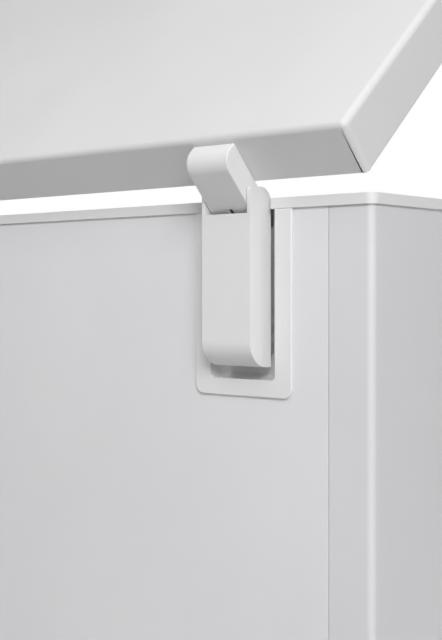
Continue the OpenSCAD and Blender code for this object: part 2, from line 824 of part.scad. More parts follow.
// spring drawn as a round wire wound around z, from z = 0 to z = height
module coil_spring(coil_r, wire_r, height, turns) {
  sides = 8;
  steps = turns * 14;
  rise_z = height - 2 * wire_r;
  points = [for (i = [0 : steps], j = [0 : sides - 1])
    let (a = 360 * turns * i / steps, b = 360 * j / sides, r = coil_r + wire_r * cos(b))
      [r * cos(a), r * sin(a), wire_r + rise_z * i / steps + wire_r * sin(b)]];
  walls = [for (i = [0 : steps - 1], j = [0 : sides - 1])
    let (k = (j + 1) % sides)
      [i * sides + j, (i + 1) * sides + j, (i + 1) * sides + k, i * sides + k]];
  ends = [[for (j = [0 : sides - 1]) j], [for (j = [sides - 1 : -1 : 0]) steps * sides + j]];
  polyhedron(points, concat(walls, ends));
}

// ---------------------------------------------------------------- hinge, moving part

plunger_top = pin_up - cam_reach(0) - 0.02 + rise(lid_open);
column_h = 16;
collar_h = 4;
collar_r = 13.6;
stem_h = 45;
spring_len = plunger_top - column_h - collar_h - seat_z;

module hinge_spring(side) {
  color(steel) at_hinge(side) translate([0, spring_out, seat_z + 0.1])
    coil_spring(11.8, 1.5, spring_len - 0.2, 9);
}

module hinge_plunger(side) {
  color(dark) at_hinge(side) translate([0, spring_out, plunger_top]) difference() {
    union() {
      span([-7, -9 - spring_out, -column_h], [7, 2.6 - spring_out, 0]);
      translate([0, 0, -column_h - collar_h]) cylinder(r = collar_r, h = collar_h);
      translate([0, 0, -column_h - collar_h - stem_h]) cylinder(r = 9, h = stem_h);
    }
    translate([0, 0, -column_h - collar_h - stem_h - eps]) cylinder(r = 4 + run, h = stem_h + eps);
  }
}

module hinge_arm(side) {
  bore_r = pin_r + run;
  color(steel) on_lid() at_hinge(side) difference() {
    union() {
      // plate on the lid
      span([-arm_half, lid_back, arm_plate_low], [arm_half, lid_back + 2, arm_plate_top]);
      for (s = [0, 1]) mirror([s, 0, 0]) x_slab(arm_half - 2, arm_half) {
        translate([pin_out, pin_up]) circle(hub_r + 0.5);
        polygon([[lid_back, arm_plate_low], [lid_back, arm_plate_top], [lid_back + 6, arm_plate_top],
                 [pin_out + hub_r + 0.5, pin_up], [pin_out - hub_r - 0.5, pin_up]]);
      }
      // cam in the middle
      x_slab(-5, 5) {
        translate([pin_out, pin_up]) circle(hub_r);
        polygon(concat([for (a = [0 : 4 : lid_open_max]) [pin_out, pin_up] + cam_point(a)],
          [[pin_out, pin_up] - hub_r * [cos(lid_open_max), sin(lid_open_max)], [pin_out + hub_r, pin_up],
           [lid_back + 5, arm_plate_top - 3], [lid_back, arm_plate_top - 3],
           [lid_back, lid_gap - 4], [pin_out - cam_pitch - 2, pin_up - 12]]));
      }
    }
    translate([0, pin_out, pin_up]) x_rod(bore_r, -30, 30);
    arm_screw_holes(2.5, lid_back - eps, lid_back + 5);
  }
}

// screws that hold the arm on the lid
module arm_screw_holes(r, y0, y1) {
  for (x = [-12, 12], z = [arm_plate_low + 7, arm_plate_top - 7]) translate([x, 0, z]) y_rod(r, y0, y1);
}

module arm_screws() {
  color(steel) on_lid() at_hinges() {
    arm_screw_holes(2.4, lid_back - 14, lid_back + 2);
    arm_screw_holes(4.2, lid_back + 2, lid_back + 4);
  }
}

// side view of the arm's cover, from back outwards, shrunk by wall on its outer and top sides
module cover_side(wall, back, bottom) {
  difference() {
    translate([back, bottom]) square([arm_out - wall - back, arm_top - wall - bottom]);
    translate([arm_out - arm_round, arm_top - arm_round]) bite(arm_round - wall);
  }
}

slot_x = -0.5;
slot_w = 4;
slot_up = 7;

module arm_cover(side) {
  half = arm_w / 2;
  color([0.84, 0.84, 0.85]) on_lid() at_hinge(side) difference() {
    x_slab(-half, half) cover_side(0, lid_back + nest, arm_bottom);
    x_slab(-half + arm_wall, half - arm_wall) cover_side(arm_wall, lid_back - eps, arm_bottom - eps);
    // slot for the tool that takes the cover off
    span([slot_x - slot_w / 2, arm_out - 4, arm_bottom - eps],
         [slot_x + slot_w / 2, arm_out + eps, arm_bottom + slot_up]);
  }
}

// ---------------------------------------------------------------- lid

hem_w = 10;
plug_in = 16;                            // gap between the plug and the storage space's walls
plug_w = cavity_w - 2 * plug_in;
plug_d = cavity_d - 2 * plug_in;
plug_drop = 4;
plug_r = cavity_r;
lid_y = rear_y + lid_back - lid_d / 2;   // middle of the closed lid
lid_z = rim_h + lid_gap;
lid_front = lid_y - lid_d / 2;

module lid_shell() {
  color([0.88, 0.88, 0.88]) on_lid() difference() {
    translate([0, lid_y, lid_z]) soft_box(lid_w, lid_d, lid_h, lid_r);
    translate([0, lid_y, lid_z + sheet_t])
      soft_box(lid_w - 2 * sheet_t, lid_d - 2 * sheet_t, lid_h - 2 * sheet_t, lid_r - sheet_t);
    translate([0, lid_y, lid_z - eps]) linear_extrude(4)
      round_rect(lid_w - 2 * hem_w, lid_d - 2 * hem_w, lid_r);
    at_hinges() arm_screw_holes(2.5, lid_back - 15, lid_back + 5);
    translate([0, 0, lid_z + lock_up]) y_rod(barrel_r + nest, lid_front - 5, lid_front + 5);
  }
}

module lid_foam() {
  color(foam_cream) on_lid() difference() {
    union() {
      translate([0, lid_y, lid_z + sheet_t + nest])
        soft_box(lid_w - 2 * sheet_t - 2 * nest, lid_d - 2 * sheet_t - 2 * nest,
                 lid_h - 2 * sheet_t - 2 * nest, lid_r - sheet_t - nest);
      translate([0, mid_y, rim_h - plug_drop + 2 + nest]) linear_extrude(lid_gap + plug_drop)
        round_rect(plug_w - 4 - 2 * nest, plug_d - 4 - 2 * nest, plug_r - 2);
    }
    at_hinges() arm_screw_holes(2.5, lid_back - 15, lid_back + 5);
    translate([0, 0, lid_z + lock_up]) y_rod(barrel_r + nest, lid_front - 5, lid_front + 22);
  }
}

module lid_liner() {
  edge = 6;
  color(white) on_lid() {
    translate([0, lid_y, lid_z - 2]) linear_extrude(2 - 0.02) difference() {
      round_rect(lid_w - 2 * edge, lid_d - 2 * edge, lid_r);
      translate([0, mid_y - lid_y]) round_rect(plug_w - 4, plug_d - 4, plug_r - 2);
    }
    translate([0, mid_y, rim_h - plug_drop]) {
      linear_extrude(2) round_rect(plug_w, plug_d, plug_r);
      linear_extrude(plug_drop + lid_gap - 0.02) round_ring(plug_w, plug_d, plug_r, 2);
    }
  }
}

module lid_gasket() {
  seal_w = body_w - 44;
  seal_d = body_d - 44;
  seal_h = lid_gap - 2 - 0.3;
  color([0.80, 0.80, 0.80]) on_lid() translate([0, mid_y, rim_h + 0.3])
    linear_extrude(seal_h) round_ring(seal_w, seal_d, 16, 12);
}

// ---------------------------------------------------------------- handle and lock

handle_w = 190;
handle_out = 27;
lock_up = 13;                            // height of the lock above the lid's lower edge
barrel_r = 8;
base_out = 9;                            // depth of the handle's lower part
tongue_len = lock_up + lid_gap + 7;
tongue_half = 3.6;

// side view of the handle: y out from the lid's front, z up from the lid's lower edge
module handle_side() {
  union() {
    polygon([[0, 1], [base_out, 1], [base_out, 27], [0, 27]]);
    polygon([[0, 27], [base_out, 27], [base_out + 5, 31], [handle_out - 6, 31], [handle_out - 6, 26],
             [handle_out - 3, 23], [handle_out, 26], [handle_out, 36], [handle_out - 6, 41], [0, 43]]);
  }
}

// frame of the lid's front: x along it, y out of it, z up from the shell's lower edge
module at_lid_front() {
  on_lid() translate([0, lid_front, lid_z]) mirror([0, 1, 0]) children();
}

module lid_handle() {
  color(grey) at_lid_front() difference() {
    x_slab(-handle_w / 2, handle_w / 2) handle_side();
    // bore of the lock and room for its tongue
    translate([0, 0, lock_up]) y_rod(barrel_r + run, -eps, base_out + eps);
    span([-barrel_r, 2.4, -eps], [tongue_len + 3, 6.4, lock_up + 5]);
  }
}

// barrel, tongue and key turn together; the tongue lies level when unlocked
module lock_barrel() {
  color(steel) at_lid_front() translate([0, 0, lock_up]) {
    y_rod(barrel_r, -14, base_out + 1);
    span([0, 2.9, -tongue_half], [tongue_len, 5.9, tongue_half]);
    y_rod(barrel_r - 3, base_out + 1, base_out + 3);
    span([-1, base_out + 3, -3], [1, base_out + 12, 3]);
    x_slab(-1, 1) translate([base_out + 18, 0]) circle(9);
  }
}

module lock_keeper() {
  slot_half = tongue_half + 2;
  color(steel) translate([0, front_y - rail_out, rim_h - rail_h]) mirror([0, 1, 0]) difference() {
    span([-slot_half - 6, 0, 0.2], [slot_half + 6, 13, rail_h - 1.2]);
    span([-slot_half, 2, -eps], [slot_half, 11, rail_h]);
  }
}

// ---------------------------------------------------------------- basket

rod_r = 2.5;
wire_r = 1.6;
basket_x = cavity_w / 2 - basket_w / 2 - 22;
basket_half = cavity_d / 2 - 14;
hang_half = cavity_d / 2 + ledge_w - 4;
hang_z = rim_h - ledge_drop + rod_r + 0.1;
basket_z = hang_z - basket_h;
weld = 0.4;                              // how deep crossing wires sink into each other

module at_basket() {
  translate([basket_x, mid_y, basket_z]) children();
}

module basket_floor() {
  nx = 6;
  ny = 8;
  color(white) at_basket() {
    for (i = [0 : nx - 1]) translate([(i - (nx - 1) / 2) * (basket_w - 30) / (nx - 1), 0, wire_r])
      y_rod(wire_r, -basket_half + 2 * wire_r, basket_half - 2 * wire_r);
    for (i = [0 : ny - 1])
      translate([0, (i - (ny - 1) / 2) * (2 * basket_half - 40) / (ny - 1), 3 * wire_r - weld])
        x_rod(wire_r, -basket_w / 2 + 2 * wire_r, basket_w / 2 - 2 * wire_r);
  }
}

module basket_sides() {
  rows = 4;
  cols = 6;
  half = basket_w / 2 - 2 * wire_r;
  color(white) at_basket() for (side = [0, 1]) mirror([0, side, 0]) {
    for (i = [0 : rows - 1]) translate([0, basket_half, 3 * wire_r + i * (basket_h - 20) / (rows - 1)])
      x_rod(wire_r, -half, half);
    for (i = [0 : cols - 1])
      translate([(i - (cols - 1) / 2) * (basket_w - 30) / (cols - 1), basket_half + 2 * wire_r - weld,
                 2 * wire_r])
        cylinder(r = wire_r, h = basket_h - 16);
  }
}

module basket_ends() {
  rows = 3;
  cols = 8;
  color(white) at_basket() for (side = [0, 1]) mirror([side, 0, 0]) translate([basket_w / 2, 0, 0]) {
    translate([0, 0, basket_h]) y_rod(rod_r, -hang_half, hang_half);
    for (i = [0 : rows - 1]) translate([0, 0, 3 * wire_r + i * (basket_h - 40) / (rows - 1)])
      y_rod(wire_r, -basket_half, basket_half);
    for (i = [0 : cols - 1])
      translate([2 * wire_r - weld, (i - (cols - 1) / 2) * (2 * basket_half - 40) / (cols - 1), 2 * wire_r])
        cylinder(r = wire_r, h = basket_h - 2 * wire_r);
  }
}

// ---------------------------------------------------------------- named pieces

module front_foot_left() { front_foot(-1); }
module front_foot_right() { front_foot(1); }
module roller_left() { roller(-1); }
module roller_right() { roller(1); }
module hinge_bezel_left() { hinge_bezel(-1); }
module hinge_bezel_right() { hinge_bezel(1); }
module hinge_bracket_left() { hinge_bracket(-1); }
module hinge_bracket_right() { hinge_bracket(1); }
module hinge_housing_left() { hinge_housing(-1); }
module hinge_housing_right() { hinge_housing(1); }
module hinge_spring_left() { hinge_spring(-1); }
module hinge_spring_right() { hinge_spring(1); }
module hinge_plunger_left() { hinge_plunger(-1); }
module hinge_plunger_right() { hinge_plunger(1); }
module hinge_arm_left() { hinge_arm(-1); }
module hinge_arm_right() { hinge_arm(1); }
module arm_cover_left() { arm_cover(-1); }
module arm_cover_right() { arm_cover(1); }

cabinet_wrap();
rear_panel();
bottom_pan();
foam_body();
inner_liner();
top_frame();
compartment_wall();
compressor_tray();
compressor();
compressor_grommets();
relay_cover();
filter_drier();
condenser_tube();
evaporator_tube();
rear_cover();
cover_screws();
side_grille();
cord_inlet();
control_panel();
thermostat_knob();
freeze_switch();
lamp_green();
lamp_amber();
lamp_red();
drain_tube();
drain_cap();
drain_plug();
front_foot_left();
front_foot_right();
roller_brackets();
roller_axles();
roller_left();
roller_right();
hinge_bezel_left();
hinge_bezel_right();
hinge_bracket_left();
hinge_bracket_right();
hinge_housing_left();
hinge_housing_right();
hinge_pins();
hinge_screws();
hinge_spring_left();
hinge_spring_right();
hinge_plunger_left();
hinge_plunger_right();
hinge_arm_left();
hinge_arm_right();
arm_cover_left();
arm_cover_right();
arm_screws();
lid_shell();
lid_foam();
lid_liner();
lid_gasket();
lid_handle();
lock_barrel();
lock_keeper();
basket_floor();
basket_sides();
basket_ends();
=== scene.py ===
import json
import math

import bmesh
import bpy
from mathutils import Matrix, Vector


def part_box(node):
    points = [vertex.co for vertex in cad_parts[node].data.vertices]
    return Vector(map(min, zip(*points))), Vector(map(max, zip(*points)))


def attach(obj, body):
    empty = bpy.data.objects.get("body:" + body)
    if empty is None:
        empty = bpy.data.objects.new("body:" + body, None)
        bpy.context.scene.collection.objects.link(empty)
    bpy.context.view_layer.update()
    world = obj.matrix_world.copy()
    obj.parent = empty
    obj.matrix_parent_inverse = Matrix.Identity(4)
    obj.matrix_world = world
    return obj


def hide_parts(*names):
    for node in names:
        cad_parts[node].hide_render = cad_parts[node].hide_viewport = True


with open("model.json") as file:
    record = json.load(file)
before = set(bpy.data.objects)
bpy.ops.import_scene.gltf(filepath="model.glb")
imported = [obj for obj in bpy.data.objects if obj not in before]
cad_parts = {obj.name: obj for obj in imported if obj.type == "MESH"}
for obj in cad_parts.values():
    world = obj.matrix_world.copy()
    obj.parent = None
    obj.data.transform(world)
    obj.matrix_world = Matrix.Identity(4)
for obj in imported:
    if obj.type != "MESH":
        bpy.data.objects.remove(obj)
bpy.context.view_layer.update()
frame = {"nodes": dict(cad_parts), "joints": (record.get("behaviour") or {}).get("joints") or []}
nodes = frame["nodes"]

MM = 0.001
SIDES = ("left", "right")

# ------------------------------------------------------------ places taken from the frame

rear_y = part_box("rear_panel")[1].y
rim_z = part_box("top_frame")[1].z
pin_low, pin_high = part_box("hinge_pins")
pin = (pin_low + pin_high) / 2
lid_joint = next(j for j in frame["joints"] if j["name"] == "lid_hinge")
lid_tilt = math.radians(lid_joint["range_deg"][0])


def open_lid():
    """Turn from the closed lid to where it stands."""
    centre = Matrix.Translation(pin)
    return centre @ Matrix.Rotation(lid_tilt, 4, "X") @ centre.inverted()


# ------------------------------------------------------------ effects shared by the finishes

DUST_COLOUR = (0.46, 0.44, 0.40)


def new_group(name, inputs, outputs):
    group = bpy.data.node_groups.new(name, "ShaderNodeTree")
    for label, kind, value in inputs:
        socket = group.interface.new_socket(name=label, in_out="INPUT", socket_type=kind)
        socket.default_value = value
    for label, kind in outputs:
        group.interface.new_socket(name=label, in_out="OUTPUT", socket_type=kind)
    start = group.nodes.new("NodeGroupInput")
    end = group.nodes.new("NodeGroupOutput")
    return group, start, end


def add_node(tree, kind, **settings):
    node = tree.nodes.new(kind)
    for key, value in settings.items():
        if key in node.inputs:
            node.inputs[key].default_value = value
        else:
            setattr(node, key, value)
    return node


def math_node(tree, operation, first, second=None, clamp=False):
    node = tree.nodes.new("ShaderNodeMath")
    node.operation = operation
    node.use_clamp = clamp
    for socket, value in zip(node.inputs, (first, second)):
        if value is None:
            continue
        if isinstance(value, (int, float)):
            socket.default_value = value
        else:
            tree.links.new(value, socket)
    return node.outputs[0]


def spread(tree, value, low, high, to_low=0.0, to_high=1.0):
    node = add_node(tree, "ShaderNodeMapRange", clamp=True)
    tree.links.new(value, node.inputs["Value"])
    for label, number in (("From Min", low), ("From Max", high), ("To Min", to_low), ("To Max", to_high)):
        node.inputs[label].default_value = number
    return node.outputs[0]


def make_soft_edge():
    """Rounds the look of sharp edges and marks where they are."""
    group, start, end = new_group(
        "Soft edge",
        [("Radius", "NodeSocketFloat", 0.001)],
        [("Normal", "NodeSocketVector"), ("Edge", "NodeSocketFloat")],
    )
    rounded = add_node(group, "ShaderNodeBevel", samples=6)
    group.links.new(start.outputs["Radius"], rounded.inputs["Radius"])
    surface = group.nodes.new("ShaderNodeNewGeometry")
    dot = add_node(group, "ShaderNodeVectorMath", operation="DOT_PRODUCT")
    group.links.new(rounded.outputs[0], dot.inputs[0])
    group.links.new(surface.outputs["Normal"], dot.inputs[1])
    edge = spread(group, dot.outputs["Value"], 0.99, 0.80)
    group.links.new(rounded.outputs[0], end.inputs["Normal"])
    group.links.new(edge, end.inputs["Edge"])
    return group


def make_grain():
    """Fine pebbled grain, with a broad slow change of tone."""
    group, start, end = new_group(
        "Grain",
        [("Fine", "NodeSocketFloat", 900.0), ("Broad", "NodeSocketFloat", 6.0)],
        [("Height", "NodeSocketFloat"), ("Tone", "NodeSocketFloat")],
    )
    place = group.nodes.new("ShaderNodeTexCoord")
    fine = add_node(group, "ShaderNodeTexNoise", Detail=3.0, Roughness=0.5)
    broad = add_node(group, "ShaderNodeTexNoise", Detail=4.0, Roughness=0.55)
    group.links.new(place.outputs["Object"], fine.inputs["Vector"])
    group.links.new(place.outputs["Object"], broad.inputs["Vector"])
    group.links.new(start.outputs["Fine"], fine.inputs["Scale"])
    group.links.new(start.outputs["Broad"], broad.inputs["Scale"])
    group.links.new(fine.outputs[0], end.inputs["Height"])
    tone = spread(group, broad.outputs[0], 0.3, 0.7)
    group.links.new(tone, end.inputs["Tone"])
    return group


def make_brushed():
    """Long fine drawing lines, along one axis of the piece."""
    group, start, end = new_group(
        "Drawn lines",
        [("Stretch", "NodeSocketVector", (20.0, 900.0, 900.0))],
        [("Height", "NodeSocketFloat")],
    )
    place = group.nodes.new("ShaderNodeTexCoord")
    scale = add_node(group, "ShaderNodeVectorMath", operation="MULTIPLY")
    group.links.new(place.outputs["Object"], scale.inputs[0])
    group.links.new(start.outputs["Stretch"], scale.inputs[1])
    lines = add_node(group, "ShaderNodeTexNoise", Scale=1.0, Detail=4.0, Roughness=0.6)
    group.links.new(scale.outputs[0], lines.inputs["Vector"])
    group.links.new(lines.outputs[0], end.inputs["Height"])
    return group


def make_dust():
    """Thin dust that settles on what faces up."""
    group, start, end = new_group(
        "Settled dust",
        [("Amount", "NodeSocketFloat", 0.2)],
        [("Mask", "NodeSocketFloat")],
    )
    place = group.nodes.new("ShaderNodeTexCoord")
    surface = group.nodes.new("ShaderNodeNewGeometry")
    split = group.nodes.new("ShaderNodeSeparateXYZ")
    group.links.new(surface.outputs["Normal"], split.inputs[0])
    up = spread(group, split.outputs["Z"], 0.2, 1.0)
    specks = add_node(group, "ShaderNodeTexNoise", Scale=60.0, Detail=5.0, Roughness=0.7)
    group.links.new(place.outputs["Object"], specks.inputs["Vector"])
    patch = spread(group, specks.outputs[0], 0.42, 0.72)
    both = math_node(group, "MULTIPLY", up, patch)
    mask = math_node(group, "MULTIPLY", both, start.outputs["Amount"])
    group.links.new(mask, end.inputs["Mask"])
    return group


soft_edge = make_soft_edge()
grain = make_grain()
drawn_lines = make_brushed()
settled_dust = make_dust()


def place_group(tree, group, **values):
    node = tree.nodes.new("ShaderNodeGroup")
    node.node_tree = group
    for key, value in values.items():
        node.inputs[key].default_value = value
    return node


def mix_colour(tree, factor, first, second):
    node = add_node(tree, "ShaderNodeMix", data_type="RGBA")
    tree.links.new(factor, node.inputs["Factor"])
    colours = [s for s in node.inputs if s.type == "RGBA"]
    for socket, value in zip(colours, (first, second)):
        if isinstance(value, (tuple, list)):
            socket.default_value = (*value, 1.0)
        else:
            tree.links.new(value, socket)
    return next(s for s in node.outputs if s.type == "RGBA")


def start_material(name, rough=0.5, metal=0.0, **constants):
    mat = bpy.data.materials.new(name)
    mat.use_nodes = True
    tree = mat.node_tree
    shader = next(n for n in tree.nodes if n.type == "BSDF_PRINCIPLED")
    shader.inputs["Roughness"].default_value = rough
    shader.inputs["Metallic"].default_value = metal
    for key, value in constants.items():
        shader.inputs[key.replace("_", " ")].default_value = value
    return mat, tree, shader


def scaled(colour, share):
    return tuple(c * share for c in colour)


def bump(tree, shader, height, depth, normal=None, strength=1.0):
    node = add_node(tree, "ShaderNodeBump", Strength=strength, Distance=depth)
    tree.links.new(height, node.inputs["Height"])
    if normal is not None:
        tree.links.new(normal, node.inputs["Normal"])
    tree.links.new(node.outputs[0], shader.inputs["Normal"])


def coated(name, colour, rough, fine, depth, edge=0.0008, dust=0.0, vary=0.035, edge_highlight_and_wear=0.04, **constants):
    """Paint or moulded plastic: fine grain, slow change of tone, soft edges that catch the light, and edges
    mixed lighter in colour: a painted highlight on pale finishes, rubbed wear on dark ones.
    """
    mat, tree, shader = start_material(name, rough, **constants)
    grainy = place_group(tree, grain, Fine=fine, Broad=5.0)
    rim = place_group(tree, soft_edge, Radius=edge)
    base = mix_colour(tree, grainy.outputs["Tone"], scaled(colour, 1.0 - vary), colour)
    # Mix the colour lighter along the edges: painted highlight on the pale finishes, rubbed wear on the dark
    # ones.
    highlight_and_wear = math_node(tree, "MULTIPLY", rim.outputs["Edge"], edge_highlight_and_wear)
    base = mix_colour(tree, highlight_and_wear, base, tuple(min(1.0, c * 1.15 + 0.02) for c in colour))
    if dust:
        settled = place_group(tree, settled_dust, Amount=dust)
        base = mix_colour(tree, settled.outputs["Mask"], base, DUST_COLOUR)
    tree.links.new(base, shader.inputs["Base Color"])
    tree.links.new(
        spread(tree, grainy.outputs["Tone"], 0.0, 1.0, rough - 0.04, rough + 0.05),
        shader.inputs["Roughness"],
    )
    bump(tree, shader, grainy.outputs["Height"], depth, rim.outputs["Normal"])
    return mat


# ------------------------------------------------------------ finishes

# Darker copy of the white enamel for the cabinet wrap: painted shade standing in for the dimmer light on the
# cabinet's sides.
shaded_side_enamel = coated("White enamel with painted side shade", (0.75, 0.75, 0.765), 0.42, 420.0, 0.00006, 0.0010)
white_enamel = coated("White enamelled steel", (0.82, 0.82, 0.835), 0.42, 420.0, 0.00006, 0.0010)
lid_enamel = coated("White lid enamel", (0.76, 0.755, 0.755), 0.50, 420.0, 0.00006, 0.0012)
hinge_plastic = coated("White hinge plastic", (0.83, 0.83, 0.835), 0.45, 1500.0, 0.00005, 0.0009)
rim_plastic = coated("White rim plastic", (0.82, 0.82, 0.825), 0.40, 1500.0, 0.00005, 0.0010)
grey_plastic = coated("Grey moulded plastic", (0.33, 0.34, 0.36), 0.45, 1500.0, 0.00008, 0.0008)
black_plastic = coated(
    "Black moulded plastic", (0.018, 0.018, 0.02), 0.42, 1500.0, 0.00010, 0.0006, dust=0.10
)
black_shell = coated(
    "Black enamelled casing", (0.012, 0.012, 0.013), 0.22, 300.0, 0.00010, 0.0010, dust=0.25
)
soft_rubber = coated("Black rubber", (0.022, 0.021, 0.020), 0.75, 1100.0, 0.00014, 0.0008, dust=0.20)
gasket_vinyl = coated("Grey gasket vinyl", (0.42, 0.42, 0.43), 0.62, 1400.0, 0.00006, 0.0006)
wire_enamel = coated("White coated wire", (0.80, 0.80, 0.80), 0.25, 500.0, 0.00005, 0.0004, Coat_Weight=0.4)


def make_foam_finish():
    mat, tree, shader = start_material("Rigid foam", 0.9)
    place = tree.nodes.new("ShaderNodeTexCoord")
    cells = add_node(tree, "ShaderNodeTexVoronoi", Scale=700.0)
    tree.links.new(place.outputs["Object"], cells.inputs["Vector"])
    patches = place_group(tree, grain, Fine=120.0, Broad=12.0)
    base = mix_colour(tree, patches.outputs["Tone"], (0.72, 0.58, 0.33), (0.84, 0.74, 0.48))
    # Darker at the cell centres, where the bump sinks into pits: painted shade in the foam's pores.
    pit_shade = spread(tree, cells.outputs["Distance"], 0.0, 0.5, 0.35, 0.0)
    base = mix_colour(tree, pit_shade, base, (0.5, 0.38, 0.2))
    tree.links.new(base, shader.inputs["Base Color"])
    tree.links.new(spread(tree, patches.outputs["Tone"], 0.0, 1.0, 0.82, 0.95), shader.inputs["Roughness"])
    bump(tree, shader, cells.outputs["Distance"], 0.0006)
    return mat


def make_liner_finish():
    """Aluminium sheet pressed with a small pebble pattern."""
    mat, tree, shader = start_material("Embossed aluminium", 0.38, 1.0)
    place = tree.nodes.new("ShaderNodeTexCoord")
    pebble = add_node(tree, "ShaderNodeTexVoronoi", feature="SMOOTH_F1", Scale=230.0, Smoothness=0.6)
    tree.links.new(place.outputs["Object"], pebble.inputs["Vector"])
    marks = place_group(tree, grain, Fine=600.0, Broad=9.0)
    rim = place_group(tree, soft_edge, Radius=0.002)
    base = mix_colour(tree, marks.outputs["Tone"], (0.66, 0.67, 0.69), (0.76, 0.77, 0.79))
    tree.links.new(base, shader.inputs["Base Color"])
    tree.links.new(spread(tree, marks.outputs["Height"], 0.3, 0.7, 0.30, 0.46), shader.inputs["Roughness"])
    bump(tree, shader, pebble.outputs["Distance"], 0.0007, rim.outputs["Normal"], 0.8)
    return mat


def make_zinc_finish():
    """Zinc-coated steel, with crystal patches and drawing lines."""
    mat, tree, shader = start_material("Zinc-coated steel", 0.36, 1.0)
    place = tree.nodes.new("ShaderNodeTexCoord")
    crystal = add_node(tree, "ShaderNodeTexVoronoi", Scale=130.0)
    tree.links.new(place.outputs["Object"], crystal.inputs["Vector"])
    lines = place_group(tree, drawn_lines, Stretch=(25.0, 1100.0, 1100.0))
    rim = place_group(tree, soft_edge, Radius=0.0006)
    tint = add_node(tree, "ShaderNodeSeparateColor")
    tree.links.new(crystal.outputs["Color"], tint.inputs[0])
    base = mix_colour(tree, tint.outputs[0], (0.50, 0.51, 0.53), (0.64, 0.65, 0.67))
    # Edges mixed lighter towards bright metal: painted highlight along the edges, with rubbed wear.
    highlight_and_wear = math_node(tree, "MULTIPLY", rim.outputs["Edge"], 0.4)
    base = mix_colour(tree, highlight_and_wear, base, (0.75, 0.76, 0.78))
    tree.links.new(base, shader.inputs["Base Color"])
    tree.links.new(spread(tree, tint.outputs[1], 0.0, 1.0, 0.28, 0.46), shader.inputs["Roughness"])
    bump(tree, shader, lines.outputs["Height"], 0.00006, rim.outputs["Normal"])
    return mat


def make_chrome_finish():
    mat, tree, shader = start_material("Chrome plate", 0.08, 1.0)
    lines = place_group(tree, drawn_lines, Stretch=(600.0, 60.0, 600.0))
    rim = place_group(tree, soft_edge, Radius=0.0006)
    base = mix_colour(tree, lines.outputs["Height"], (0.72, 0.73, 0.75), (0.82, 0.83, 0.85))
    tree.links.new(base, shader.inputs["Base Color"])
    tree.links.new(spread(tree, lines.outputs["Height"], 0.3, 0.7, 0.06, 0.18), shader.inputs["Roughness"])
    bump(tree, shader, lines.outputs["Height"], 0.00002, rim.outputs["Normal"])
    return mat


def make_copper_finish():
    mat, tree, shader = start_material("Drawn copper", 0.35, 1.0)
    lines = place_group(tree, drawn_lines, Stretch=(900.0, 900.0, 25.0))
    stain = place_group(tree, grain, Fine=300.0, Broad=45.0)
    base = mix_colour(tree, stain.outputs["Tone"], (0.34, 0.15, 0.08), (0.72, 0.37, 0.22))
    tree.links.new(base, shader.inputs["Base Color"])
    tree.links.new(spread(tree, stain.outputs["Tone"], 0.0, 1.0, 0.5, 0.25), shader.inputs["Roughness"])
    bump(tree, shader, lines.outputs["Height"], 0.00005)
    return mat


def make_lens_finish(name, dark, light):
    """Coloured lens with a ribbed inside."""
    mat, tree, shader = start_material(name, 0.12, Coat_Weight=0.6)
    place = tree.nodes.new("ShaderNodeTexCoord")
    ribs = add_node(tree, "ShaderNodeTexWave", bands_direction="X", Scale=260.0, Distortion=0.0)
    tree.links.new(place.outputs["Object"], ribs.inputs["Vector"])
    base = mix_colour(tree, ribs.outputs[1], dark, light)
    tree.links.new(base, shader.inputs["Base Color"])
    tree.links.new(base, shader.inputs["Emission Color"])
    shader.inputs["Emission Strength"].default_value = 0.15
    bump(tree, shader, ribs.outputs[1], 0.00008)
    return mat


foam_finish = make_foam_finish()
liner_finish = make_liner_finish()
zinc_finish = make_zinc_finish()
chrome_finish = make_chrome_finish()
copper_finish = make_copper_finish()
green_lens = make_lens_finish("Green lens", (0.01, 0.16, 0.04), (0.05, 0.55, 0.16))
amber_lens = make_lens_finish("Amber lens", (0.42, 0.17, 0.01), (0.95, 0.50, 0.08))
red_lens = make_lens_finish("Red lens", (0.28, 0.01, 0.01), (0.80, 0.06, 0.04))

FINISH_OF_NODE = {
    shaded_side_enamel: ["cabinet_wrap"],
    white_enamel: ["rear_panel", "rear_cover"],
    lid_enamel: ["lid_shell"],
    rim_plastic: ["top_frame", "lid_liner"],
    hinge_plastic: [
        "hinge_bezel_left", "hinge_bezel_right", "hinge_housing_left",
        "hinge_housing_right", "arm_cover_left", "arm_cover_right",
    ],
    grey_plastic: [
        "side_grille", "control_panel", "lid_handle", "drain_tube", "drain_cap",
        "roller_left", "roller_right",
    ],
    black_plastic: [
        "relay_cover", "thermostat_knob", "freeze_switch", "cord_inlet",
        "front_foot_left", "front_foot_right",
    ],
    black_shell: ["compressor", "condenser_tube"],
    soft_rubber: ["compressor_grommets", "drain_plug"],
    gasket_vinyl: ["lid_gasket"],
    wire_enamel: ["basket_floor", "basket_sides", "basket_ends"],
    foam_finish: ["foam_body", "lid_foam"],
    liner_finish: ["inner_liner", "evaporator_tube"],
    chrome_finish: ["lock_barrel", "lock_keeper"],
    copper_finish: ["filter_drier"],
    green_lens: ["lamp_green"],
    amber_lens: ["lamp_amber"],
    red_lens: ["lamp_red"],
}
finish_of = {name: mat for mat, names in FINISH_OF_NODE.items() for name in names}
for name, piece in nodes.items():
    finish = finish_of.get(name, zinc_finish)
    piece.data.materials.clear()
    piece.data.materials.append(finish)

# ------------------------------------------------------------ how pieces are made


def nothing_selected():
    if bpy.context.object and bpy.context.object.mode != "OBJECT":
        bpy.ops.object.mode_set(mode="OBJECT")
    bpy.ops.object.select_all(action="DESELECT")


def settle_place(piece, name):
    piece.name = name
    piece.data.name = name
    bpy.ops.object.transform_apply(location=True, rotation=True, scale=True)
    return piece


